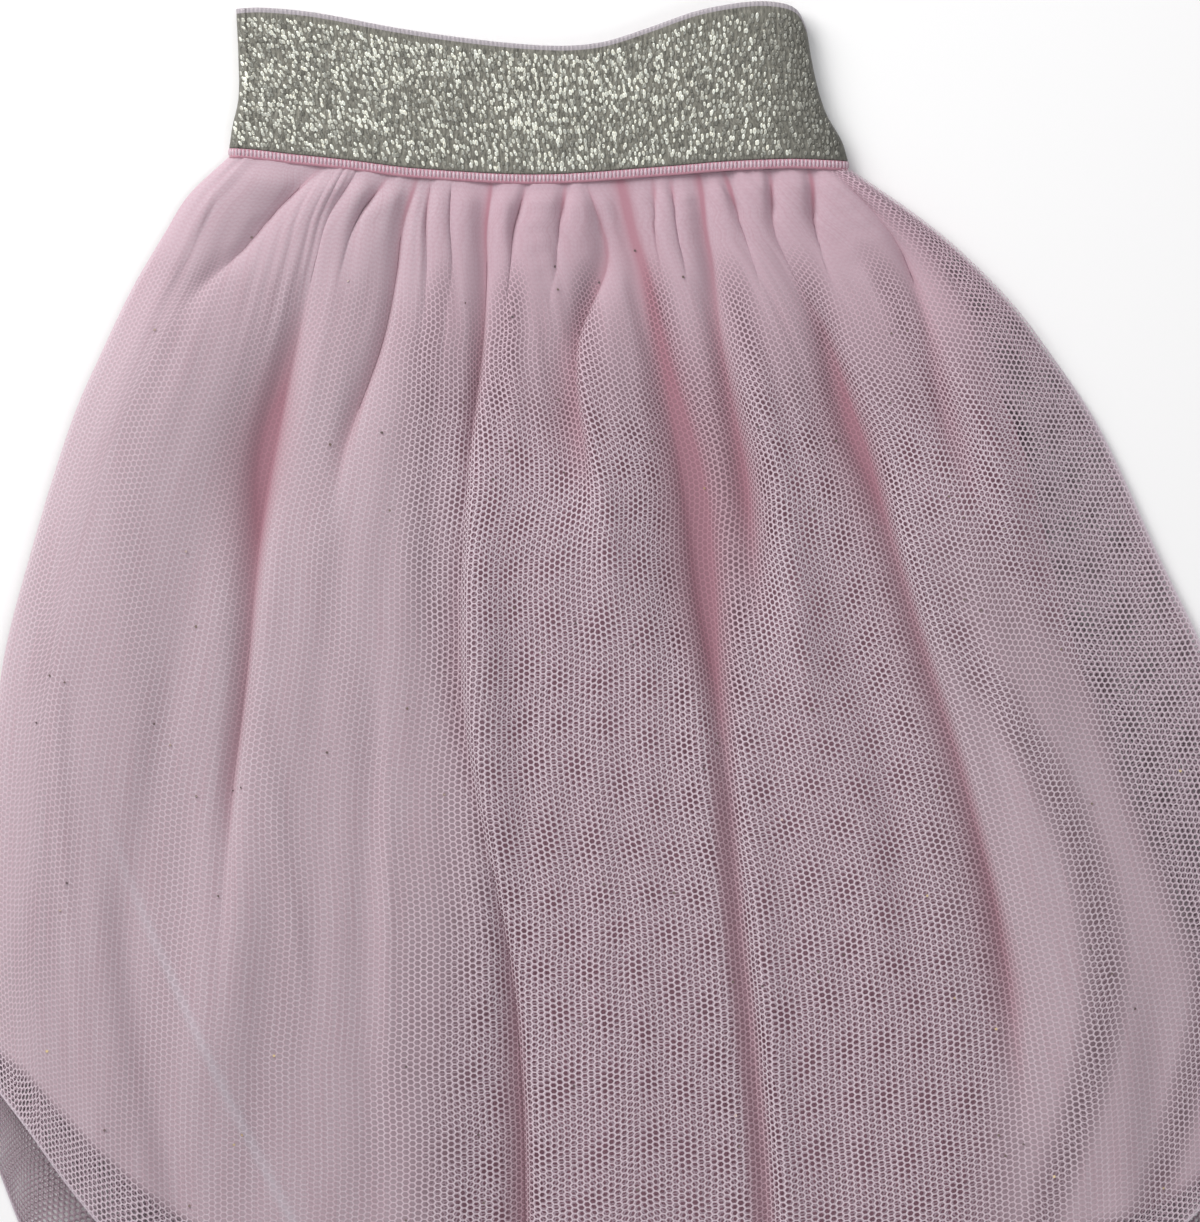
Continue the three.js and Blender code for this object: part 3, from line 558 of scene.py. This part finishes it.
def elastic_material(name):
    t = Tree(name)
    uv = t.uv()
    xyz = t.node("ShaderNodeSeparateXYZ")
    t.put(xyz, 0, uv)
    x, y = xyz.outputs[0], xyz.outputs[1]
    streak = t.node("ShaderNodeMapping")
    t.put(streak, "Vector", uv)
    t.put(streak, "Scale", (1.0, 0.28, 1.0))
    grain = t.noise(streak.outputs[0], 1500.0, 3.0, 0.7)
    patch = t.noise(uv, 130.0, 2.0)
    base = t.mix(t.ramp(grain, 0.3, 0.72), (0.05, 0.049, 0.04, 1), (0.33, 0.32, 0.275, 1))
    base = t.mix(t.ramp(patch, 0.35, 0.7, 0.0, 0.35), base, (0.21, 0.203, 0.165, 1))
    # Painted shade on the band's ends, where they round away from the light
    base = t.mix(t.math("MULTIPLY", t.attribute("turned_away_shade"), 0.5), base, (0.055, 0.056, 0.05, 1))
    edge = t.ramp(t.attribute("below_top"), 1.35, 1.15)
    rib = t.math("SINE", t.math("MULTIPLY", x, 2 * math.pi / 0.0011))
    selvedge = t.mix(t.ramp(rib, -1.0, 1.0), (0.36, 0.33, 0.36, 1), (0.44, 0.40, 0.43, 1))
    colour = t.mix(edge, base, selvedge)
    height = t.math("ADD", grain, t.math("MULTIPLY", rib, 0.15))
    normal = t.bump(height, 0.8, 0.0003)
    return t.finish(t.principled(Base_Color=colour, Roughness=0.5, Metallic=0.15, Normal=normal))


def loop_material(name):
    """Metallic yarn loops: painted glints and glow, each loop's brightness set by its own value, with painted
    shade in its middle.
    """
    t = Tree(name)
    lit = t.attribute("lit")
    core = t.attribute("core")
    warm = t.attribute("warm")
    gold = t.mix(warm, (0.86, 0.90, 0.84, 1), (0.90, 0.84, 0.66, 1))
    colour = t.mix(t.math("MULTIPLY", lit, t.math("SUBTRACT", 1.0, t.math("MULTIPLY", core, 0.55))),
                   (0.14, 0.135, 0.115, 1), gold)
    # The loops glow by emission though they are no lamp: painted light
    glow = t.math("MULTIPLY", t.math("POWER", lit, 3.0), 0.16)
    return t.finish(t.principled(Base_Color=colour, Metallic=0.35, Roughness=0.28, Specular_IOR_Level=0.8,
                                 Emission_Color=gold, Emission_Strength=glow))


def bead_material(name, light, dark):
    t = Tree(name)
    pos = t.node("ShaderNodeTexCoord").outputs["Object"]
    tone = t.noise(pos, 900.0, 2.0)
    colour = t.mix(t.ramp(tone, 0.3, 0.7), light, dark)
    return t.finish(t.principled(Base_Color=colour, Roughness=0.6, Sheen_Weight=0.3,
                                 Normal=t.bump(tone, 0.5, 0.0001)))


def speck_material(name):
    t = Tree(name)
    lit = t.attribute("lit")
    colour = t.mix(lit, (0.16, 0.12, 0.13, 1), (0.80, 0.62, 0.34, 1))
    return t.finish(t.principled(Base_Color=colour, Metallic=0.5, Roughness=0.4))


def floor_material(name):
    t = Tree(name)
    pos = t.node("ShaderNodeTexCoord").outputs["Object"]
    tone = t.noise(pos, 3.0, 2.0)
    colour = t.mix(tone, (0.95, 0.95, 0.955, 1), (0.97, 0.97, 0.97, 1))
    return t.finish(t.principled(Base_Color=colour, Roughness=0.9, Specular_IOR_Level=0.1))


# Meshes

def mesh_object(name, points, faces, mat, uv=None, attributes=None, smooth=True):
    """An object from points in millimetres; faces is an array of quads or a list of tuples."""
    mesh = bpy.data.meshes.new(name)
    faces = faces.tolist() if isinstance(faces, np.ndarray) else faces
    mesh.from_pydata((np.asarray(points) * MM).tolist(), [], faces)
    if smooth:
        mesh.polygons.foreach_set("use_smooth", np.ones(len(mesh.polygons), bool))
    if uv is not None:
        layer = mesh.uv_layers.new(name="cloth")
        loops = np.zeros(len(mesh.loops), int)
        mesh.loops.foreach_get("vertex_index", loops)
        layer.data.foreach_set("uv", (np.asarray(uv)[loops] * MM).ravel())
    for key, values in (attributes or {}).items():
        mesh.attributes.new(key, "FLOAT", "POINT").data.foreach_set("value", np.asarray(values, float))
    mesh.materials.append(mat)
    mesh.update()
    obj = bpy.data.objects.new(name, mesh)
    bpy.context.scene.collection.objects.link(obj)
    return obj


def sheet_object(name, grid, mat, uv, **extra):
    """A sheet from a grid; its rim within about a millimetre of the hem and sides is marked as dense."""
    rows, cols = grid.shape[:2]
    i = (np.arange(rows - 1)[:, None] * cols + np.arange(cols - 1)[None, :]).ravel()
    faces = np.stack([i, i + cols, i + cols + 1, i + 1], axis=1)
    to_hem = np.linalg.norm(grid - grid[-1:], axis=-1)
    to_left = np.linalg.norm(grid - grid[:, :1], axis=-1)
    to_right = np.linalg.norm(grid - grid[:, -1:], axis=-1)
    to_side = np.minimum(to_left, to_right)
    rim = np.exp(-(np.minimum(to_hem, to_side) / 1.1) ** 2)
    marks = {"rim": rim.ravel(), **{key: values.ravel() for key, values in extra.items()}}
    return mesh_object(name, grid.reshape(-1, 3), faces, mat, uv.reshape(-1, 2), marks)


def along_lengths(grid):
    """Distance down the cloth, measured on the flat plan."""
    step = np.linalg.norm(np.diff(grid[..., :2], axis=0), axis=-1)
    return np.concatenate([np.zeros((1, grid.shape[1])), np.cumsum(step, axis=0)], axis=0)


pink_net = net_material("net_outer",
                        (0.81, 0.71, 0.765, 1), (0.60, 0.48, 0.535, 1), (0.52, 0.265, 0.33, 1))
# The under net and the back nets are darker copies of the same pink net: painted shade
shaded_under_net = net_material("net_under_shaded",
                         (0.66, 0.53, 0.60, 1), (0.51, 0.385, 0.44, 1), (0.48, 0.24, 0.30, 1),
                         turn=7.0, stretch=(1.02, 1.05, 1.0), warp=0.0012)
shaded_back_net = net_material("net_backs_shaded",
                        (0.42, 0.33, 0.37, 1), (0.34, 0.25, 0.29, 1), (0.36, 0.2, 0.27, 1), turn=-2.0)
shaded_back_net_inner = net_material("net_backs_inner_shaded",
                              (0.50, 0.40, 0.45, 1), (0.40, 0.30, 0.35, 1), (0.36, 0.2, 0.27, 1),
                              turn=2.0, stretch=(1.03, 1.07, 1.0), warp=0.0012)
lining_pink = lining_material("lining_pink", (0.40, 0.235, 0.285, 1), (0.35, 0.195, 0.24, 1))
elastic = elastic_material("glitter_elastic_base")
lurex = loop_material("glitter_loops")
bead_pink = bead_material("picot_pink", (0.62, 0.49, 0.55, 1), (0.50, 0.36, 0.42, 1))
# The strip is the edging's own pink, darkened as painted shade in the gaps under and between the picots
strip_shaded_pink = bead_material("strip_shaded_pink", (0.50, 0.25, 0.31, 1), (0.44, 0.20, 0.26, 1))
speck_glitter = speck_material("glitter_specks")

COLUMN_PITCH = 1.05
LAYER_OFFSET = 0.38
STEPS = steps_between(COLUMN_PITCH)
ROW_COUNT = 150
rows = (np.arange(ROW_COUNT + 1) / ROW_COUNT) ** 1.3



def net_marks(grid, fold, across, along):
    """How much painted shade each place of the front net gets in its folds, how dense it is, how near the
    waist it is, and how much painted highlight it gets along the diagonal crease.
    """
    width = np.ptp(grid[..., 0], axis=1)[:, None]
    on_left = 1 - smoothstep(across + 0.02 * np.sin(9 * along), 0.3, 0.41)
    on_right = 0.8 * smoothstep(across, 0.74, 0.84) * smoothstep(along, 0.25, 0.6)
    near_waist = (1 - smoothstep(along, 0.03, 0.3)) * (1 - 0.5 * on_left)

    close = np.maximum(np.maximum(1 - smoothstep(along, 0.06, 0.25), 0.8 * on_left), on_right)
    open_bands = np.clip(np.sin(2 * np.pi * (across * 11 + 0.5 * np.sin(7 * along) + 0.12)), 0, 1)
    close *= 1 - 0.75 * open_bands * smoothstep(along, 0.05, 0.12) * (1 - 0.85 * on_left)
    past_lining = np.stack([grid[i, :, 0] - float(SIDE["lining_right"](v)) for i, v in enumerate(rows)])
    close *= 1 - smoothstep(past_lining, -4, 6)
    waist = SEAM["waist"](across)
    lining_ends = (SEAM["lining"](across) - waist) / (SEAM["hem"](across) - waist)
    close *= 1 - smoothstep(along - lining_ends, -0.012, 0.004)

    # A wide band of painted shade along the centre valley lower down; the painted shade of the folds is
    # weaker near the waist
    centre_track = FOLD_TRACKS[FOLDS["name"].index("centre")]
    centre_at = np.array([float(centre_track(v)) for v in rows])[:, None]
    from_centre = (across - centre_at) * width + 1.5
    centre_valley_shade = 0.5 * smoothstep(along, 0.4, 0.55) * np.exp(-(from_centre / 4.0) ** 4)
    fold = np.maximum(fold, centre_valley_shade) * (0.65 + 0.35 * smoothstep(along, 0.1, 0.3))

    # Painted highlight along the diagonal crease, where it catches the light
    diagonal_at = np.array([float(CREASE_TRACKS[0](v)) for v in rows])[:, None]
    from_diagonal = (across - diagonal_at) * width
    pale = smoothstep(along, 0.56, 0.74) * np.exp(-(from_diagonal / 1.4) ** 2)
    return {"fold": fold, "close": close, "waist": near_waist, "pale": pale}


# Front net, two layers
front = np.stack([front_net(columns_at(v, STEPS), v, fine=1.0) for v in rows])
# The fourth column is how much painted shade each place gets in its fold
fold_depth = front[..., 3]
front = front[..., :3]
across_all = np.stack([columns_at(v, STEPS) for v in rows])
along_all = np.repeat(rows[:, None], across_all.shape[1], axis=1)
front_marks = net_marks(front, fold_depth, across_all, along_all)
normal = grid_normals(front)
plan = np.stack([front_net(columns_at(v, STEPS), v)[:, :2] for v in rows])
flat_v = along_lengths(np.concatenate([plan, np.zeros(plan.shape[:2] + (1,))], axis=-1))
flat_u = arc_share(front) * NET_CUT[0]
net_uv = np.stack([flat_u, flat_v], axis=-1)
net_outer = sheet_object("net_front_outer", front + normal * LAYER_OFFSET, pink_net, net_uv, **front_marks)
net_under_shaded = sheet_object("net_front_under", front - normal * LAYER_OFFSET, shaded_under_net, net_uv, **front_marks)

# Lining front and back
lining_rows = (np.arange(61) / 60) ** 1.15
shares = np.linspace(0, 1, 161)
lining = np.stack([lining_points(shares, v, LINING_FRONT_LEVEL, LINING_SWELL) for v in lining_rows])
lining_uv = np.stack([arc_share(lining) * LINING_CUT[0], along_lengths(lining)], axis=-1)
lining_front = sheet_object("lining_front_cloth", lining + [0, 0, 0.42], lining_pink, lining_uv)
back_lining = np.stack([lining_points(shares[::2], v, LINING_BACK_LEVEL, 0) for v in lining_rows])
back_lining_uv = np.stack([arc_share(back_lining) * LINING_CUT[0], along_lengths(back_lining)], axis=-1)
lining_back = sheet_object("lining_back_cloth", back_lining, lining_pink, back_lining_uv)

# Back net
back_rows = (np.arange(81) / 80) ** 1.2
back_shares = np.linspace(0, 1, 201)


def back_points(share, along):
    x = lerp(float(SIDE["left"](along)), float(SIDE["right"](along)), share)
    y = lerp(SEAM["waist"](share) - 0.1, SEAM["back_hem"](share), along)
    pressed = 0.18 * np.sin(2 * np.pi * share * 31 + 3 * along) * (1 - float(smoothstep(along, 0.1, 0.5)))
    pressed += 0.16 * np.sin(2 * np.pi * (share * 9 + 0.4 * np.sin(2.2 * along)))
    return np.stack([x, y, 0.5 + pressed], axis=-1)


back = np.stack([back_points(back_shares, v) for v in back_rows])
back_uv = np.stack([arc_share(back) * NET_CUT[0], along_lengths(back)], axis=-1)
net_back = sheet_object("net_back_cloth", back - [0, 0, 0.2], shaded_back_net, back_uv)
net_back_inner = sheet_object("net_back_inner", back + [0, 0, 0.3], shaded_back_net_inner, back_uv)


# Waistband

def pressed_loop(left, right, loft, inset, columns=90, steps=16):
    start, end = left + BAND_FOLD_LEFT, right - BAND_FOLD_RIGHT

    def top(x):
        share = (x - left) / (right - left)
        return loft + BAND_SWELL * np.exp(-((share - BAND_SWELL_AT) / BAND_SWELL_WIDE) ** 2) - inset

    x = np.linspace(start, end, columns + 1)
    front_x, front_z = x, top(x)
    a = np.linspace(np.pi / 2, -np.pi / 2, steps + 1)[1:-1]
    high, middle = top(end), (top(end) + inset) / 2
    right_x, right_z = end + (BAND_FOLD_RIGHT - inset) * np.cos(a), middle + (high - middle) * np.sin(a)
    b = np.linspace(-np.pi / 2, -1.5 * np.pi, steps + 1)[1:-1]
    high, middle = top(start), (top(start) + inset) / 2
    left_x, left_z = start + (BAND_FOLD_LEFT - inset) * np.cos(b), middle + (high - middle) * np.sin(b)
    return (np.concatenate([front_x, right_x, x[::-1], left_x]),
            np.concatenate([front_z, right_z, np.full(len(x), inset), left_z]))


BAND_SIDE = {k: smooth_through(BAND_SIDES["up"], BAND_SIDES[k]) for k in ("left", "right")}
BAND_HIGH = smooth_through(BAND_TOP["across"], BAND_TOP["y"])


def band_low(across):
    return SEAM["waist"](across) + EDGING_HEIGHT + SEAM_GAP


def loop_rings(levels, sides, low, high, loft, inset):
    rings = []
    for up in levels:
        left, right = sides(up)
        x, z = pressed_loop(left, right, loft, inset)
        across = np.clip((x - left) / (right - left), 0, 1)
        rings.append(np.stack([x, lerp(low(across), high(across), up), z], axis=-1))
    return np.stack(rings)


def tube_object(name, outer, inner, mat):
    """Closed wall between two stacks of rings, with its cut length and height as UV."""
    levels, around = outer.shape[:2]
    closed = np.concatenate([outer, outer[:, :1]], axis=1)
    step = np.linalg.norm(np.diff(closed, axis=1), axis=-1)
    arc = np.concatenate([np.zeros((levels, 1)), np.cumsum(step, axis=1)[:, :-1]], axis=1)
    arc = arc / step.sum(axis=1, keepdims=True) * ELASTIC_CUT[0]
    rise = along_lengths(outer)
    i = np.arange(around)
    j = (i + 1) % around
    under = levels * around
    faces = []
    for k in range(levels - 1):
        a, b = k * around, (k + 1) * around
        faces.append(np.stack([a + i, a + j, b + j, b + i], axis=1))
        faces.append(np.stack([under + a + i, under + b + i, under + b + j, under + a + j], axis=1))
    top = (levels - 1) * around
    faces.append(np.stack([i, under + i, under + j, j], axis=1))
    faces.append(np.stack([top + i, top + j, under + top + j, under + top + i], axis=1))
    points = np.concatenate([outer.reshape(-1, 3), inner.reshape(-1, 3)])
    uv = np.stack([arc, rise], axis=-1).reshape(-1, 2)
    below_top = (rise[-1:] - rise).ravel()
    x = (outer[..., 0] - outer[..., 0].min()) / np.ptp(outer[..., 0])
    # Mark the band's rounded ends, where they turn away from the light, for painted shade
    turned_away_shade = np.maximum(smoothstep(x, 0.84, 1.0), 0.7 * (1 - smoothstep(x, 0.0, 0.04))).ravel()
    marks = {"below_top": np.concatenate([below_top, below_top]), "turned_away_shade": np.concatenate([turned_away_shade, turned_away_shade])}
    return mesh_object(name, points, np.concatenate(faces), mat, np.concatenate([uv, uv]), marks)


def band_sides(up):
    return float(BAND_SIDE["left"](up)), float(BAND_SIDE["right"](up))


levels = np.concatenate([[0, 0.006], np.linspace(0.02, 0.98, 30), [0.994, 1]])
outer = loop_rings(levels, band_sides, band_low, BAND_HIGH, BAND_LOFT, 0.0)
outer[0, :, 2] = lerp(outer[0, :, 2], BAND_LOFT / 2, 0.06)
outer[-1, :, 2] = lerp(outer[-1, :, 2], BAND_LOFT / 2, 0.06)
inner = loop_rings(levels, band_sides, band_low, BAND_HIGH, BAND_LOFT, BAND_WALL)
band = tube_object("elastic_band", outer, inner, elastic)

rng = np.random.default_rng(7)


def band_place(across, up, face):
    """Point on the band's front (face 1) or back (face 0), with its across and up directions."""
    left, right = band_sides(up)
    share = BAND_FOLD_LEFT / (right - left)
    x = left + (right - left) * across
    y = lerp(float(band_low(across)), float(BAND_HIGH(across)), up)
    if not face:
        return x, y, 0.0, 0.0
    z = BAND_LOFT + BAND_SWELL * math.exp(-((across - BAND_SWELL_AT) / BAND_SWELL_WIDE) ** 2)
    slope = 0.0
    end = right - BAND_FOLD_RIGHT
    if x > end:
        from_swell = (end - left) / (right - left) - BAND_SWELL_AT
        high = BAND_LOFT + BAND_SWELL * math.exp(-(from_swell / BAND_SWELL_WIDE) ** 2)
        c = min((x - end) / BAND_FOLD_RIGHT, 0.985)
        s = math.sqrt(1 - c * c)
        z = high / 2 * (1 + s)
        slope = -(high / 2) * c / (s * BAND_FOLD_RIGHT)
    elif x < left + BAND_FOLD_LEFT:
        c = min((left + BAND_FOLD_LEFT - x) / BAND_FOLD_LEFT, 0.985)
        s = math.sqrt(1 - c * c)
        z = BAND_LOFT / 2 * (1 + s)
        slope = (BAND_LOFT / 2) * c / (s * BAND_FOLD_LEFT)
    return x, y, z, slope


LOOP_PITCH, LOOP_ROW = 1.0, 1.34
LOOP_WIDE, LOOP_TALL, LOOP_PROUD = 0.37, 0.72, 0.26
SELVEDGE = 1.5


def lurex_loops(name, face, rings, chance):
    sides = 8
    angle = np.arange(sides) * 2 * np.pi / sides
    radius, height, core = zip(*rings)
    points, faces, lit, dark, warm = [], [], [], [], []
    count = int(158 / LOOP_PITCH)
    tall = int((37.0 - SELVEDGE) / LOOP_ROW)
    for r in range(tall):
        for c in range(count):
            if rng.random() > chance:
                continue
            across = (c + 0.5 * (r % 2) + 0.35 * rng.standard_normal() + 0.4) / count
            if not 0.004 < across < 0.992:
                continue
            up_mm = 0.9 + LOOP_ROW * (r + 0.5) + 0.25 * rng.standard_normal()
            reach = float(BAND_HIGH(across) - band_low(across))
            up = up_mm / 37.0 * (reach - SELVEDGE) / reach
            x, y, z, slope = band_place(across, up, face)
            tilt = math.radians(lerp(34, -4, min(1, across * 1.15)) + 7 * rng.standard_normal())
            size = 1 + 0.12 * rng.standard_normal()
            # Each loop's brightness is a painted glint: random, in clusters, with painted shade towards the
            # band's rounded right end
            cluster = (0.5 + 0.5 * math.sin(x * 0.31 + 1.7 * math.sin(y * 0.23))
                       * math.sin(y * 0.37 + 1.3 * math.sin(x * 0.19)))
            value = rng.random() + 0.22 * (0.5 - cluster) + 0.5 * float(smoothstep(across, 0.84, 1.0))
            glow = 0.95 if value < 0.36 else (0.55 if value < 0.66 else 0.2)
            glow = min(1.0, max(0.05, glow + 0.12 * rng.standard_normal()))
            glow *= 1 - 0.5 * float(smoothstep(across, 0.86, 1.0))
            base = len(points)
            up_or_down = 1 if face else -1
            for rad, h, k in zip(radius, height, core):
                for a in (angle if rad > 0 else angle[:1]):
                    px, py = size * LOOP_WIDE * rad * math.cos(a), size * LOOP_TALL * rad * math.sin(a)
                    dx = px * math.cos(tilt) - py * math.sin(tilt)
                    dy = px * math.sin(tilt) + py * math.cos(tilt)
                    run = 1 / math.sqrt(1 + slope * slope)
                    points.append((x + dx * run - slope * run * h, y + dy,
                                   z + up_or_down * h * run + dx * slope * run))
                    lit.append(glow)
                    dark.append(k)
                    warm.append(min(1, max(0, 0.25 + 0.3 * rng.standard_normal())) if k == 0 else 0.2)
            for s in range(sides):
                n = (s + 1) % sides
                cap = (base, base + 1 + s, base + 1 + n)
                faces.append(cap if face else (cap[0], cap[2], cap[1]))
                for q in range(len(rings) - 2):
                    a, b = base + 1 + q * sides, base + 1 + (q + 1) * sides
                    quad = (a + s, b + s, b + n, a + n)
                    faces.append(quad if face else quad[::-1])
    return mesh_object(name, points, faces, lurex, attributes={"lit": lit, "core": dark, "warm": warm})


# Rings of a loop: share of its size, height above the band, and how much painted shade darkens it
FRONT_RINGS = [(0, 0.05, 1), (0.6, LOOP_PROUD, 0), (0.9, 0.2, 0), (1.0, -0.06, 0)]
BACK_RINGS = [(0, 0.12, 0.6), (0.75, 0.1, 0), (1.0, -0.06, 0)]
loops_front = lurex_loops("lurex_front", 1, FRONT_RINGS, 0.9)
loops_back = lurex_loops("lurex_back", 0, BACK_RINGS, 0.5)


# Edging: a narrow strip with a row of picots

def edging_sides(up):
    return band_sides(0)


edging_levels = np.linspace(0, 1, 5)


def edging_top(across):
    return SEAM["waist"](across) + EDGING_HEIGHT + 0.2


# The strip is thinner than its solid, which the picots fill out
STRIP_LOFT, STRIP_WALL = EDGING_LOFT - 0.5, EDGING_WALL - 0.5
edge_outer = loop_rings(edging_levels, edging_sides, SEAM["waist"], edging_top, STRIP_LOFT, 0.0)
edge_inner = loop_rings(edging_levels, edging_sides, SEAM["waist"], edging_top, STRIP_LOFT, STRIP_WALL)
edging = tube_object("edging_strip", edge_outer, edge_inner, strip_shaded_pink)

PICOT_PITCH = 1.02
PICOT_WIDE, PICOT_TALL, PICOT_DEEP, PICOT_ABOVE = 0.44, 0.98, 0.42, 0.28


def picots(name):
    points, faces = [], []
    ring = edge_outer[2]
    closed = np.concatenate([ring, ring[:1]])
    step = np.linalg.norm(np.diff(closed, axis=0), axis=1)
    arc = np.concatenate([[0], np.cumsum(step)])
    centre = np.array([0, 0, EDGING_LOFT / 2])
    lat, lon = 5, 8
    for s in np.arange(0, arc[-1] - PICOT_PITCH / 2, PICOT_PITCH):
        at = np.array([np.interp(s, arc, closed[:, k]) for k in range(3)])
        nxt = np.array([np.interp(min(s + 0.4, arc[-1]), arc, closed[:, k]) for k in range(3)])
        t = nxt - at
        t /= max(np.linalg.norm(t), 1e-9)
        up = np.array([0, 1.0, 0])
        out = np.cross(up, t)
        out /= max(np.linalg.norm(out), 1e-9)
        mid = at + up * PICOT_ABOVE + out * 0.05
        base = len(points)
        for i in range(lat):
            phi = math.pi * (i + 0.5) / lat
            for j in range(lon):
                theta = 2 * math.pi * j / lon
                points.append(tuple(mid + t * PICOT_WIDE * math.sin(phi) * math.cos(theta)
                                    + up * PICOT_TALL * math.cos(phi)
                                    + out * PICOT_DEEP * math.sin(phi) * math.sin(theta)))
        for i in range(lat - 1):
            for j in range(lon):
                n = (j + 1) % lon
                a, b = base + i * lon, base + (i + 1) * lon
                faces.append((a + j, b + j, b + n, a + n))
        faces.append(tuple(base + j for j in range(lon))[::-1])
        faces.append(tuple(base + (lat - 1) * lon + j for j in range(lon)))
    points = np.array(points)
    points[:, 2] = np.maximum(points[:, 2], 0.02)
    return mesh_object(name, points, faces, bead_pink)


picot_row = picots("picot_row")


# Specks of glitter that lie on the front net

def specks(name, count):
    points, faces, lit = [], [], []
    for _ in range(count):
        v = 0.06 + 0.93 * rng.random()
        u = 0.01 + 0.98 * rng.random()
        p = front_net(np.array([u, min(u + 0.004, 1.0)]), v, fine=1.0)[:, :3]
        q = front_net(np.array([u]), min(v + 0.004, 1.0), fine=1.0)[0, :3]
        a, b = p[1] - p[0], q - p[0]
        n = np.cross(b, a)
        n /= np.linalg.norm(n)
        a /= np.linalg.norm(a)
        b = np.cross(n, a)
        mid = p[0] + n * 0.62
        tip = 0.25 * rng.standard_normal(2)
        size = 0.3 + 0.1 * rng.random()
        base = len(points)
        for k in range(6):
            ang = math.pi * k / 3 + rng.random() * 0.1
            c, s = math.cos(ang), math.sin(ang)
            points.append(tuple(mid + size * (a * c + b * s) + n * size * (tip[0] * c + tip[1] * s)))
        faces.append(tuple(range(base, base + 6)))
        lit += [1.0 if rng.random() < 0.16 else 0.15 * rng.random()] * 6
    return mesh_object(name, points, faces, speck_glitter, attributes={"lit": lit}, smooth=False)


speck_flakes = specks("glitter_flakes", 110)

# Bodies and the stand-ins they replace
for piece, slot, nodes in ((net_outer, "pink_net", ("net_front",)), (net_under_shaded, "pink_net", ("net_front",)),
                           (net_back, "pink_net", ("net_back",)), (net_back_inner, "pink_net", ("net_back",)),
                           (lining_front, "pink_lining", ("lining_front",)),
                           (lining_back, "pink_lining", ("lining_back",)),
                           (band, "glitter_elastic", ("waistband",)), (loops_front, "glitter_elastic", ()),
                           (loops_back, "glitter_elastic", ()), (edging, "pink_edging", ("waist_edging",)),
                           (picot_row, "pink_edging", ()), (speck_flakes, "glitter_elastic", ())):
    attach(piece, "root")
    if nodes:
        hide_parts(*nodes)

# Floor, light and camera
floor_mesh = bpy.data.meshes.new("floor")
FLOOR_REACH, FLOOR_LEVEL = 3, -0.0002
corners = [(x * FLOOR_REACH, y * FLOOR_REACH, FLOOR_LEVEL) for x, y in ((-1, -1), (1, -1), (1, 1), (-1, 1))]
floor_mesh.from_pydata(corners, [], [(0, 1, 2, 3)])
floor_mesh.materials.append(floor_material("pale_floor"))
floor = bpy.data.objects.new("floor", floor_mesh)
bpy.context.scene.collection.objects.link(floor)


def area_light(name, place, target, size, power, colour):
    light = bpy.data.lights.new(name, "AREA")
    light.shape = "RECTANGLE"
    light.size, light.size_y = size
    light.energy = power
    light.color = colour
    obj = bpy.data.objects.new(name, light)
    obj.location = place
    obj.rotation_euler = (Vector(target) - Vector(place)).to_track_quat("-Z", "Y").to_euler()
    bpy.context.scene.collection.objects.link(obj)


MIDDLE = (0.0156, -0.1292, 0.008)
area_light("key", (-0.66, 0.62, 0.70), MIDDLE, (0.8, 0.8), 14.6, (1.0, 0.985, 0.97))
area_light("fill", (1.0, -0.6, 2.2), MIDDLE, (1.8, 1.8), 12.0, (0.97, 0.98, 1.0))

world = bpy.data.worlds.new("soft_studio")
world.use_nodes = True
world.node_tree.nodes["Background"].inputs[0].default_value = (0.98, 0.985, 1.0, 1)
world.node_tree.nodes["Background"].inputs[1].default_value = 0.38
bpy.context.scene.world = world
bpy.context.scene.view_settings.view_transform = "Standard"

PHOTO_HEIGHT = 0.31772
CAMERA_RISE = 2.4
camera = bpy.data.cameras.new("camera")
camera.sensor_width = 36.0
camera.lens = 36.0 * CAMERA_RISE / PHOTO_HEIGHT
camera.clip_end = 10.0
camera_object = bpy.data.objects.new("camera", camera)
camera_object.location = (MIDDLE[0], MIDDLE[1], MIDDLE[2] + CAMERA_RISE)
bpy.context.scene.collection.objects.link(camera_object)
bpy.context.scene.camera = camera_object
